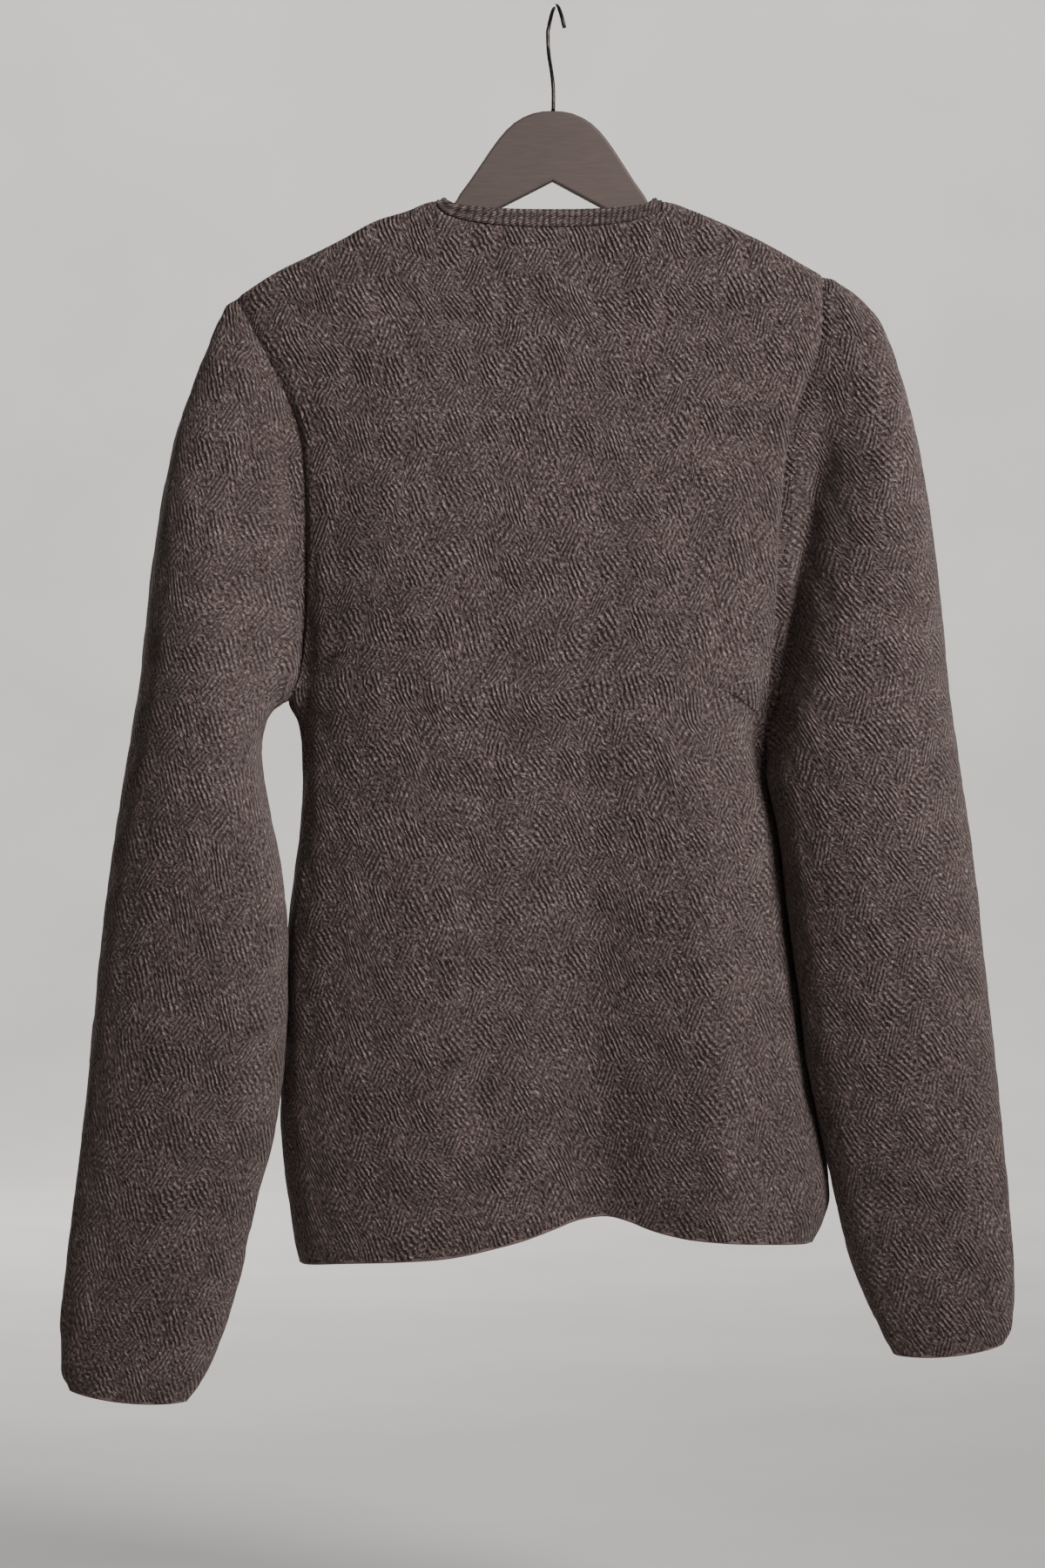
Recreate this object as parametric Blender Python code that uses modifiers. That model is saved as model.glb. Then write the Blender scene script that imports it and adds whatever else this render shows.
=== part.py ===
"""A round-neck knitted cardigan on a flat wooden hanger, about 0.6 m wide and 0.88 m long.

The origin is where the hook hangs, at the top of its inside. The fronts face -Y, the back faces +Y,
the wearer's left side is at +X, and +Z is up. The tables are in millimetres.
"""

import math
from collections import namedtuple

import bmesh
import bpy
import numpy as np
from mathutils import Matrix, Vector

MM = 0.001

# Driving sizes, in millimetres
WALL = 2.5
SEAM_GAP = 0.3
CENTRE_FRONT_X = 2.0
BAND_WIDTH = 25.0
BAND_LIFT = 1.5
NECKBAND_HEIGHT = 11.0
BUTTON_COUNT = 6
BUTTON_DIAMETER = 15.0
BUTTON_THICKNESS = 3.2
HANGER_THICKNESS = 10.0
HANGER_EDGE_RADIUS = 1.5
HANGER_TILT_DEGREES = 0.6
HOOK_WIRE_DIAMETER = 2.6
HOOK_INNER_RADIUS = 11.0

# How finely the cloth is divided
ARMHOLE_ROWS = 12
SIDE_ROWS = 13
SHOULDER_COLUMNS = 5
BACK_NECK_COLUMNS = 10
FRONT_NECK_COLUMNS = 6
SLEEVE_RINGS = 23

Point = namedtuple("Point", "x z")
EdgePoint = namedtuple("EdgePoint", "z x")
Depth = namedtuple("Depth", "z back front")
HemPoint = namedtuple("HemPoint", "x back front")
Fold = namedtuple("Fold", "x_top z_top x_low z_low depth left_width right_width")
Ring = namedtuple("Ring", "out_x out_z in_x in_z middle back front follow valley")

# The shoulder ends of the armholes and the points under the arms, on the middle of the wall
LEFT_TIP = Point(x=200.2, z=-183.8)
RIGHT_TIP = Point(x=-169.4, z=-170.2)
LEFT_UNDERARM = Point(x=166.7, z=-437.4)
RIGHT_UNDERARM = Point(x=-132.5, z=-458.0)

# The outer edge of the body seen from behind: down the armhole, then down the side seam
LEFT_EDGE = (
    EdgePoint(-183.8, 200.2),
    EdgePoint(-192.8, 195.6),
    EdgePoint(-213.7, 184.6),
    EdgePoint(-240.6, 171.1),
    EdgePoint(-267.0, 161.0),
    EdgePoint(-294.5, 157.3),
    EdgePoint(-352.3, 155.7),
    EdgePoint(-390.8, 156.6),
    EdgePoint(-420.0, 160.6),
    EdgePoint(-437.4, 166.7),
    EdgePoint(-449.0, 161.2),
    EdgePoint(-462.0, 158.6),
    EdgePoint(-490.0, 157.2),
    EdgePoint(-517.0, 158.3),
    EdgePoint(-545.0, 162.2),
    EdgePoint(-572.0, 165.8),
    EdgePoint(-655.0, 168.8),
    EdgePoint(-699.0, 171.0),
    EdgePoint(-727.0, 169.4),
    EdgePoint(-748.0, 166.4),
    EdgePoint(-776.0, 162.4),
    EdgePoint(-790.6, 158.8),
)
RIGHT_EDGE = (
    EdgePoint(-170.2, -169.4),
    EdgePoint(-212.0, -167.5),
    EdgePoint(-235.1, -160.0),
    EdgePoint(-253.3, -153.0),
    EdgePoint(-275.3, -147.4),
    EdgePoint(-302.8, -143.8),
    EdgePoint(-335.8, -141.4),
    EdgePoint(-379.8, -139.4),
    EdgePoint(-423.8, -135.8),
    EdgePoint(-458.0, -132.5),
    EdgePoint(-470.0, -131.6),
    EdgePoint(-490.0, -134.6),
    EdgePoint(-515.0, -140.0),
    EdgePoint(-561.3, -145.6),
    EdgePoint(-599.8, -150.4),
    EdgePoint(-643.8, -156.4),
    EdgePoint(-687.8, -162.8),
    EdgePoint(-726.3, -170.4),
    EdgePoint(-749.4, -172.0),
    EdgePoint(-765.3, -167.6),
    EdgePoint(-777.6, -161.0),
)

# The line of the shoulders on the middle of the wall, from the left armhole to the right one
SHOULDER_LINE = (
    Point(200.2, -183.8),
    Point(174.9, -167.8),
    Point(153.5, -157.3),
    Point(132.0, -146.3),
    Point(113.3, -135.8),
    Point(93.5, -129.5),
    Point(74.0, -122.8),
    Point(-68.0, -123.2),
    Point(-88.6, -129.5),
    Point(-110.0, -138.7),
    Point(-133.1, -149.7),
    Point(-156.8, -163.2),
    Point(-169.4, -170.2),
)
NECK_SEAM_LEFT = Point(74.0, -122.8)
NECK_SEAM_RIGHT = Point(-68.0, -123.2)
NECK_RIM_LEFT = Point(68.0, -120.8)
NECK_RIM_RIGHT = Point(-62.0, -121.0)
BACK_NECK_DROP = 16.0
BACK_RIM_DROP = 7.2
FRONT_NECK_DROP = 81.5

# How far the cloth stands out from the middle plane, half way across the body
BODY_DEPTH = (
    Depth(-120.0, back=8.4, front=8.4),
    Depth(-140.0, back=9.4, front=9.4),
    Depth(-165.0, back=12.0, front=12.0),
    Depth(-200.0, back=17.0, front=15.5),
    Depth(-250.0, back=24.0, front=21.0),
    Depth(-300.0, back=30.0, front=26.5),
    Depth(-350.0, back=36.0, front=31.5),
    Depth(-400.0, back=41.0, front=36.0),
    Depth(-450.0, back=45.0, front=40.0),
    Depth(-500.0, back=48.0, front=43.0),
    Depth(-600.0, back=53.0, front=47.5),
    Depth(-700.0, back=56.0, front=50.5),
    Depth(-795.0, back=57.0, front=52.0),
)
RIDGE_ROUNDING = 8.0
NECK_POINT_ROUNDING = 5.0

# The hem across the body, from the left side seam to the right one
HEM = (
    HemPoint(158.8, back=-790.6, front=-790.6),
    HemPoint(135.9, back=-788.4, front=-788.0),
    HemPoint(93.5, back=-786.0, front=-781.5),
    HemPoint(65.5, back=-783.8, front=-777.0),
    HemPoint(37.4, back=-778.5, front=-772.5),
    HemPoint(16.5, back=-772.8, front=-768.5),
    HemPoint(2.2, back=-767.2, front=-766.0),
    HemPoint(-11.6, back=-761.4, front=-764.5),
    HemPoint(-29.7, back=-758.8, front=-764.0),
    HemPoint(-41.8, back=-761.2, front=-765.0),
    HemPoint(-57.8, back=-766.8, front=-768.0),
    HemPoint(-77.6, back=-771.4, front=-771.5),
    HemPoint(-104.5, back=-774.2, front=-774.5),
    HemPoint(-161.0, back=-777.6, front=-777.6),
)

# Soft folds that run down the cloth: a positive depth sinks it, a negative one lifts it
BACK_FOLDS = (
    Fold(-18.0, -300.0, -31.0, -790.0, depth=25.0, left_width=120.0, right_width=72.0),
    Fold(-96.0, -420.0, -108.0, -790.0, depth=-5.0, left_width=34.0, right_width=34.0),
    Fold(60.0, -150.0, 44.0, -235.0, depth=1.6, left_width=30.0, right_width=30.0),
)
FRONT_FOLDS = (
    Fold(72.0, -330.0, 84.0, -790.0, depth=15.0, left_width=46.0, right_width=60.0),
    Fold(-66.0, -300.0, -86.0, -780.0, depth=13.0, left_width=56.0, right_width=44.0),
    Fold(118.0, -470.0, 128.0, -790.0, depth=-4.0, left_width=28.0, right_width=26.0),
    Fold(-112.0, -500.0, -124.0, -780.0, depth=-4.0, left_width=28.0, right_width=24.0),
)

# Cross-sections of each sleeve, from the armhole to the cuff: the outer and inner sides of the tube seen
# from behind, where its middle lies towards the back, how far it reaches to the back and to the front,
# how much it still follows the armhole's curve, and how deep the valley beside the body is
LEFT_SLEEVE = (
    Ring(200.2, -183.8, 166.7, -437.4, 0.0, 14.0, 14.0, 1.00, 0.0),
    Ring(208.5, -193.0, 171.4, -438.9, 0.5, 19.5, 18.0, 0.85, 0.0),
    Ring(216.5, -211.0, 175.2, -441.0, 1.5, 25.5, 23.0, 0.65, 0.0),
    Ring(226.5, -238.0, 178.8, -444.6, 2.5, 32.0, 28.0, 0.42, 0.0),
    Ring(237.6, -270.0, 181.8, -449.8, 4.0, 38.0, 33.0, 0.22, 0.0),
    Ring(246.6, -314.0, 184.0, -456.8, 6.0, 43.0, 37.0, 0.08, 0.0),
    Ring(253.7, -364.0, 185.2, -466.0, 8.0, 46.0, 40.0, 0.0, 0.0),
    Ring(260.2, -424.0, 184.2, -480.0, 10.0, 47.0, 41.0, 0.0, 0.0),
    Ring(269.2, -480.0, 180.2, -502.0, 13.0, 45.0, 40.0, 0.0, 0.0),
    Ring(276.7, -530.0, 172.4, -540.0, 17.0, 41.0, 37.0, 0.0, 0.0),
    Ring(283.2, -583.0, 167.4, -590.0, 20.0, 37.0, 34.0, 0.0, 0.0),
    Ring(289.0, -640.0, 168.6, -648.0, 20.0, 34.0, 31.0, 0.0, 0.0),
    Ring(294.8, -697.0, 175.5, -706.0, 18.0, 30.0, 28.0, 0.0, 0.0),
    Ring(301.2, -748.0, 188.6, -757.0, 15.0, 27.0, 25.0, 0.0, 0.0),
    Ring(306.6, -792.0, 198.6, -803.0, 12.0, 24.0, 22.0, 0.0, 0.0),
    Ring(310.6, -832.0, 211.2, -842.0, 10.0, 21.0, 20.0, 0.0, 0.0),
    Ring(310.4, -857.0, 221.6, -864.0, 9.0, 19.5, 18.5, 0.0, 0.0),
    Ring(305.0, -870.5, 231.6, -877.5, 8.0, 18.5, 17.5, 0.0, 0.0),
)
RIGHT_SLEEVE = (
    Ring(-169.4, -170.2, -132.5, -458.0, 0.0, 17.0, 14.0, 1.00, 0.0),
    Ring(-186.0, -179.0, -137.6, -459.0, 2.5, 22.0, 19.0, 0.85, 5.0),
    Ring(-204.0, -198.0, -140.4, -461.6, 5.5, 26.0, 24.0, 0.60, 14.0),
    Ring(-215.8, -228.0, -138.8, -467.4, 8.5, 30.0, 30.0, 0.35, 12.0),
    Ring(-226.2, -268.0, -135.2, -477.0, 11.0, 35.0, 36.0, 0.15, 4.0),
    Ring(-235.1, -318.0, -134.6, -486.0, 13.0, 39.0, 40.0, 0.05, 0.0),
    Ring(-241.9, -374.0, -136.4, -498.0, 15.0, 42.0, 42.0, 0.0, 0.0),
    Ring(-247.4, -430.0, -140.2, -516.0, 16.0, 44.0, 42.0, 0.0, 0.0),
    Ring(-255.4, -486.0, -143.6, -542.0, 17.0, 43.0, 40.0, 0.0, 0.0),
    Ring(-263.4, -542.0, -147.8, -580.0, 18.0, 41.0, 37.0, 0.0, 0.0),
    Ring(-269.2, -600.0, -153.4, -620.0, 20.0, 37.0, 34.0, 0.0, 0.0),
    Ring(-275.0, -650.0, -158.4, -664.0, 20.0, 34.0, 31.0, 0.0, 0.0),
    Ring(-280.0, -696.0, -167.0, -706.0, 18.0, 30.0, 28.0, 0.0, 0.0),
    Ring(-284.2, -738.0, -176.6, -748.0, 15.0, 27.0, 25.0, 0.0, 0.0),
    Ring(-287.6, -776.0, -185.2, -784.0, 12.0, 24.0, 22.0, 0.0, 0.0),
    Ring(-289.2, -806.0, -196.2, -813.0, 10.0, 21.0, 20.0, 0.0, 0.0),
    Ring(-288.2, -829.0, -206.4, -834.5, 9.0, 19.5, 18.5, 0.0, 0.0),
    Ring(-282.4, -841.5, -213.8, -848.0, 8.0, 18.5, 17.5, 0.0, 0.0),
)
CUFF_SAG = 2.6
VALLEY_START = 0.12
VALLEY_FULL = 0.45
VALLEY_END = 0.90

# Half of the hanger's outline: down the flank and the arm's top edge, then back along its underside
HANGER_TOP = Point(0.0, -65.5)
HANGER_FLANK = (
    Point(12.5, -67.0),
    Point(24.5, -73.2),
    Point(34.4, -83.7),
    Point(44.0, -97.7),
    Point(51.6, -109.2),
    Point(58.4, -118.6),
    Point(62.6, -125.4),
    Point(72.0, -131.8),
    Point(90.0, -137.0),
    Point(112.0, -145.0),
    Point(136.0, -156.4),
    Point(160.0, -169.6),
    Point(168.0, -174.6),
)
HANGER_TIP = (
    Point(172.5, -179.5),
    Point(173.5, -186.0),
    Point(170.0, -192.0),
    Point(163.0, -193.6),
)
HANGER_UNDERSIDE = (Point(31.0, -126.0),)
HANGER_NOTCH = Point(0.0, -109.8)

COLOURS = {
    "knit": (0.105, 0.074, 0.066, 1.0),
    "knit_edge": (0.090, 0.064, 0.058, 1.0),
    "button": (0.030, 0.022, 0.019, 1.0),
    "hanger": (0.135, 0.105, 0.094, 1.0),
    "wire": (0.018, 0.015, 0.014, 1.0),
}


def hermite(knots, values, at):
    """A smooth curve through a table that never swings past its own values."""
    knots = np.asarray(knots, float)
    values = np.asarray(values, float)
    if knots[0] > knots[-1]:
        knots = knots[::-1]
        values = values[::-1]
    at = np.clip(np.asarray(at, float), knots[0], knots[-1])
    steps = np.diff(knots)
    slopes = np.diff(values) / steps
    before = slopes[:-1]
    after = slopes[1:]
    mean = (before * steps[1:] + after * steps[:-1]) / (steps[1:] + steps[:-1])
    limit = 3.0 * np.minimum(np.abs(before), np.abs(after))
    inner = np.where(before * after > 0, np.sign(mean) * np.minimum(np.abs(mean), limit), 0.0)
    tangents = np.concatenate([[slopes[0]], inner, [slopes[-1]]])
    cell = np.clip(np.searchsorted(knots, at, side="right") - 1, 0, len(steps) - 1)
    width = steps[cell]
    t = (at - knots[cell]) / width
    return (
        (2 * t**3 - 3 * t**2 + 1) * values[cell]
        + (t**3 - 2 * t**2 + t) * width * tangents[cell]
        + (3 * t**2 - 2 * t**3) * values[cell + 1]
        + (t**3 - t**2) * width * tangents[cell + 1]
    )


def column(table, name):
    return [getattr(row, name) for row in table]


def ease(low, high, value):
    """0 below low, 1 above high, and a smooth step between them."""
    t = np.clip((np.asarray(value, float) - low) / (high - low), 0.0, 1.0)
    return t * t * (3.0 - 2.0 * t)


def mix(a, b, share):
    return a + (b - a) * share


def left_edge_x(z):
    return hermite(column(LEFT_EDGE, "z"), column(LEFT_EDGE, "x"), z)


def right_edge_x(z):
    return hermite(column(RIGHT_EDGE, "z"), column(RIGHT_EDGE, "x"), z)


def across_to_x(across, z):
    """across is 1 at the left edge of the body and -1 at the right one."""
    return mix(right_edge_x(z), left_edge_x(z), (across + 1.0) / 2.0)


def x_to_across(x, z):
    return 2.0 * (x - right_edge_x(z)) / (left_edge_x(z) - right_edge_x(z)) - 1.0


def loop_depth(share):
    """Depth of a flattened loop, 0 at its two ends and 1 half way."""
    return (4.0 * share * (1.0 - share)) ** 0.35


def fold_depth(folds, x, z):
    total = np.zeros(np.broadcast(x, z).shape)
    for fold in folds:
        share = (fold.z_top - z) / (fold.z_top - fold.z_low)
        centre = mix(fold.x_top, fold.x_low, np.clip(share, 0.0, 1.1))
        growth = ease(0.0, 1.0, share) if fold.depth > 2.0 else ease(0.0, 0.5, share)
        aside = x - centre
        width = np.where(aside > 0, fold.left_width, fold.right_width)
        near = np.clip(1.0 - np.sqrt((aside / width) ** 2 + 0.006) + 0.0775, 0.0, 1.0)
        total = total + fold.depth * growth * near**2 * (1.5 - 0.5 * near)
    return total


def body_depth(across, x, z, down_armhole, is_back):
    """Distance of the wall's middle from the plane of the hanger, always positive.

    down_armhole is 0 in the row of the shoulders, and 1 under the arms and below.
    """
    side = "back" if is_back else "front"
    leftness = (across + 1.0) / 2.0
    seam_depth = mix(getattr(RIGHT_SLEEVE[0], side), getattr(LEFT_SLEEVE[0], side), leftness)
    seam = seam_depth * loop_depth(down_armhole)
    in_armhole = mix(
        1.0 - ease(RIGHT_UNDERARM.z + 20.0, RIGHT_UNDERARM.z - 60.0, z),
        1.0 - ease(LEFT_UNDERARM.z + 20.0, LEFT_UNDERARM.z - 60.0, z),
        leftness,
    )
    flatness = mix(2.5, 4.2, in_armhole)
    steepness = mix(1.0 / 2.5, 1.0, in_armhole)
    rise = np.clip(1.0 - np.abs(across) ** flatness, 0.0, 1.0) ** steepness
    middle = hermite(column(BODY_DEPTH, "z"), column(BODY_DEPTH, side), z)
    folds = fold_depth(BACK_FOLDS if is_back else FRONT_FOLDS, x, z)
    return seam + (middle * over_ridge(x, z) - seam) * rise - folds * rise


def quarter_round(distance, radius):
    return np.sqrt(1.0 - (1.0 - np.clip(distance / radius, 0.0, 1.0)) ** 2)


def over_ridge(x, z, left=NECK_SEAM_LEFT, right=NECK_SEAM_RIGHT):
    """0 on the ridge of the shoulders and the neck points, 1 once the cloth hangs down from them."""
    below = quarter_round(shoulder_z(x) - z, RIDGE_ROUNDING)
    inside_neck = quarter_round(np.minimum(left.x - x, x - right.x), NECK_POINT_ROUNDING)
    return 1.0 - (1.0 - below) * (1.0 - inside_neck)


def armhole_shares():
    """How far down the armhole each of its rows lies, closer at its ends."""
    return (1.0 - np.cos(np.linspace(0.0, math.pi, ARMHOLE_ROWS + 1))) / 2.0


def row_shares(tip, underarm, hem_z):
    """How far down the edge each row lies, 0 at the shoulder and 1 at the hem."""
    armhole = armhole_shares() * (tip.z - underarm.z)
    side = (np.linspace(0.0, 1.0, SIDE_ROWS + 1)[1:] ** 1.15) * (underarm.z - hem_z)
    down = np.concatenate([armhole, armhole[-1] + side])
    return down / down[-1]


def shoulder_z(x):
    return hermite(column(SHOULDER_LINE, "x"), column(SHOULDER_LINE, "z"), x)


def neck_arc(left, right, drop, angles):
    """A rounded neckline from the left neck point (angle 0) to the right one (angle pi)."""
    half = (left.x - right.x) / 2.0
    middle = (left.x + right.x) / 2.0
    sideways = np.sign(np.cos(angles)) * np.abs(np.cos(angles)) ** 0.85
    x = middle + half * sideways
    top = mix(right.z, left.z, (sideways + 1.0) / 2.0)
    return x, top - drop * np.sin(angles) ** 0.85


def angle_at_x(left, right, x):
    half = (left.x - right.x) / 2.0
    share = (x - (left.x + right.x) / 2.0) / half
    return math.acos(math.copysign(abs(share) ** (1.0 / 0.85), share))


BAND_LEFT_X = CENTRE_FRONT_X + BAND_WIDTH / 2.0
BAND_RIGHT_X = CENTRE_FRONT_X - BAND_WIDTH / 2.0


def front_neck_angles(is_left, left, right):
    """Angles of the front neckline from a neck point to the edge of that side's front."""
    shares = np.linspace(0.0, 1.0, FRONT_NECK_COLUMNS + 1) ** 1.8
    start, end_x = (0.0, BAND_LEFT_X) if is_left else (math.pi, BAND_RIGHT_X)
    return mix(start, angle_at_x(left, right, end_x), shares)


def back_top():
    """The back's upper edge: left shoulder, neckline, right shoulder."""
    left_x = np.linspace(LEFT_TIP.x, NECK_SEAM_LEFT.x, SHOULDER_COLUMNS + 1)
    right_x = np.linspace(NECK_SEAM_RIGHT.x, RIGHT_TIP.x, SHOULDER_COLUMNS + 1)
    angles = np.linspace(0.0, math.pi, BACK_NECK_COLUMNS + 1)[1:-1]
    neck_x, neck_z = neck_arc(NECK_SEAM_LEFT, NECK_SEAM_RIGHT, BACK_NECK_DROP, angles)
    x = np.concatenate([left_x, neck_x, right_x])
    z = np.concatenate([shoulder_z(left_x), neck_z, shoulder_z(right_x)])
    return x, z


def front_top(is_left):
    """A front's upper edge, from its shoulder tip to its front edge."""
    tip = LEFT_TIP if is_left else RIGHT_TIP
    neck = NECK_SEAM_LEFT if is_left else NECK_SEAM_RIGHT
    shoulder_x = np.linspace(tip.x, neck.x, SHOULDER_COLUMNS + 1)
    angles = front_neck_angles(is_left, NECK_SEAM_LEFT, NECK_SEAM_RIGHT)[1:]
    neck_x, neck_z = neck_arc(NECK_SEAM_LEFT, NECK_SEAM_RIGHT, FRONT_NECK_DROP, angles)
    x = np.concatenate([shoulder_x, neck_x])
    z = np.concatenate([shoulder_z(shoulder_x), neck_z])
    return x, z


def round_section(count, end_across):
    """Columns spaced evenly round a section, from the left edge to end_across."""
    end = math.acos(math.copysign(abs(end_across) ** 1.25, end_across))
    angles = np.linspace(0.0, end, count + 1)
    return np.sign(np.cos(angles)) * np.abs(np.cos(angles)) ** 0.8


def band_lap(x):
    """1 at the front bands, fading out beside them, where the fronts part to lap over each other."""
    half = BAND_WIDTH / 2.0
    return 1.0 - ease(half, half + 35.0, np.abs(x - CENTRE_FRONT_X))


def body_grid(top, is_back, end_x=None, is_left=True):
    """Points of the back or of one front, a row for each level and a column for each line down."""
    top_x, top_z = top
    count = len(top_x) - 1
    top_across = x_to_across(top_x, top_z)
    hem_side = "back" if is_back else "front"
    left_shares = row_shares(LEFT_TIP, LEFT_UNDERARM, LEFT_EDGE[-1].z)
    right_shares = row_shares(RIGHT_TIP, RIGHT_UNDERARM, RIGHT_EDGE[-1].z)
    down_armhole = np.concatenate([armhole_shares(), np.ones(SIDE_ROWS)])
    rows = []
    for left_share, right_share, row_down in zip(left_shares, right_shares, down_armhole):
        lower = ease(0.0, 0.45, left_share)
        z = top_z
        # The level and the column's place depend on each other, so both settle in a few rounds.
        for _ in range(6):
            if end_x is None:
                round_across = round_section(count, -1.0)
            else:
                side = 1.0 if is_left else -1.0
                round_across = side * round_section(count, side * float(x_to_across(end_x, z[-1])))
            across = mix(top_across, round_across, lower)
            if end_x is not None:
                across = np.append(across[:-1], x_to_across(end_x, z[-1]))
            share = mix(right_share, left_share, (across + 1.0) / 2.0)
            hem_x = mix(RIGHT_EDGE[-1].x, LEFT_EDGE[-1].x, (across + 1.0) / 2.0)
            hem_z = hermite(column(HEM, "x"), column(HEM, hem_side), hem_x)
            z = mix(top_z, hem_z, share)
        x = across_to_x(across, z)
        depth = body_depth(across, x, z, row_down, is_back)
        y = depth if is_back else -depth
        if not is_back:
            y = y + (-BAND_LIFT if is_left else BAND_LIFT) * band_lap(x)
        rows.append(np.stack([x, y, z], axis=1))
    return np.array(rows)


def sleeve_rings(table, count):
    """Every ring's sizes, worked out smoothly between the sections of the table."""
    sections = np.arange(len(table))
    at = np.linspace(0.0, len(table) - 1.0, count)
    return at, {name: hermite(sections, column(table, name), at) for name in Ring._fields}


def sleeve_grid(table, tip, underarm, edge_x):
    """A row for each ring, starting at its outer side and going round by the back to the front."""
    at, sizes = sleeve_rings(table, SLEEVE_RINGS)
    turns = np.linspace(0.0, 2.0 * math.pi, 2 * ARMHOLE_ROWS + 1)[:-1]
    share = (1.0 - np.cos(turns)) / 2.0
    on_back = np.sin(turns) >= 0.0
    armhole_z = mix(tip.z, underarm.z, share)
    bow = edge_x(armhole_z) - mix(tip.x, underarm.x, share)
    valley = ease(VALLEY_START, VALLEY_FULL, share) * (1.0 - ease(VALLEY_END, 1.0, share)) * on_back
    rings = []
    for index, place in enumerate(at):
        size = {name: values[index] for name, values in sizes.items()}
        inset = (WALL / 2.0) * min(1.0, place)
        chord = np.array([size["in_x"] - size["out_x"], size["in_z"] - size["out_z"]])
        chord = chord / np.linalg.norm(chord)
        out = np.array([size["out_x"], size["out_z"]]) + chord * inset
        inner = np.array([size["in_x"], size["in_z"]]) - chord * inset
        cuff = ease(len(table) - 2.0, len(table) - 1.0, place)
        x = mix(out[0], inner[0], share) + bow * size["follow"]
        z = mix(out[1], inner[1], share) - CUFF_SAG * cuff * np.sin(turns) ** 2
        roundness = mix(0.7, 0.92, ease(0.0, 6.0, place))
        reach = np.where(on_back, size["back"], size["front"]) * np.abs(np.sin(turns)) ** roundness
        y = size["middle"] * ease(0.0, 1.0, min(1.0, place)) + np.where(on_back, reach, -reach)
        y = y - size["valley"] * valley
        rings.append(np.stack([x, y, z], axis=1))
    return np.array(rings)


def neck_line(front_left, front_right, back):
    """The neckline's seam, from the left front edge round the back to the right front edge."""
    first = SHOULDER_COLUMNS
    left = front_left[0, first:][::-1]
    right = front_right[0, first:]
    middle = back[0, first : first + BACK_NECK_COLUMNS + 1]
    return np.concatenate([left, middle[1:-1], right])


def neck_rim(front_left, front_right):
    """The neckband's upper edge, in step with its seam."""
    parts = []
    for is_left in (True, False):
        angles = front_neck_angles(is_left, NECK_RIM_LEFT, NECK_RIM_RIGHT)
        front = front_left if is_left else front_right
        drop_to = front[0, -1][2] + NECKBAND_HEIGHT
        rim_top = NECK_RIM_LEFT.z if is_left else NECK_RIM_RIGHT.z
        drop = (rim_top - drop_to) / math.sin(angles[-1]) ** 0.85
        x, z = neck_arc(NECK_RIM_LEFT, NECK_RIM_RIGHT, drop, angles)
        depth = hermite(column(BODY_DEPTH, "z"), column(BODY_DEPTH, "front"), z)
        y = -depth * over_ridge(x, z, NECK_RIM_LEFT, NECK_RIM_RIGHT)
        y = y + (-BAND_LIFT if is_left else BAND_LIFT) * band_lap(x)
        parts.append(np.stack([x, y, z], axis=1))
    angles = np.linspace(0.0, math.pi, BACK_NECK_COLUMNS + 1)
    x, z = neck_arc(NECK_RIM_LEFT, NECK_RIM_RIGHT, BACK_RIM_DROP, angles)
    depth = hermite(column(BODY_DEPTH, "z"), column(BODY_DEPTH, "back"), z)
    back = np.stack([x, depth * over_ridge(x, z, NECK_RIM_LEFT, NECK_RIM_RIGHT), z], axis=1)
    return np.concatenate([parts[0][::-1], back[1:-1], parts[1]])


def front_band_grid(front, rim_end, is_left):
    """The strip beside one front's edge. The left one laps over the right one."""
    edge = front[:, -1]
    far_x = BAND_RIGHT_X if is_left else BAND_LEFT_X
    shares = (0.0, 0.5, 1.0)
    levels = np.vstack([rim_end, edge])
    columns = []
    for share in shares:
        x = mix(levels[:, 0], far_x, share)
        columns.append(np.stack([x, levels[:, 1], levels[:, 2]], axis=1))
    return np.stack(columns, axis=1)


def grid_normals(grid, closed):
    """Area-weighted normals of a grid of points, pointing out of the garment."""
    rows, columns = grid.shape[:2]
    normals = np.zeros_like(grid)
    for j in range(rows - 1):
        for i in range(columns if closed else columns - 1):
            k = (i + 1) % columns
            a, b, c, d = grid[j, i], grid[j, k], grid[j + 1, k], grid[j + 1, i]
            face = np.cross(c - a, d - b)
            for row, spot in ((j, i), (j, k), (j + 1, k), (j + 1, i)):
                normals[row, spot] += face
    return normals


def seam_key(point):
    return tuple(np.round(point, 3))


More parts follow.
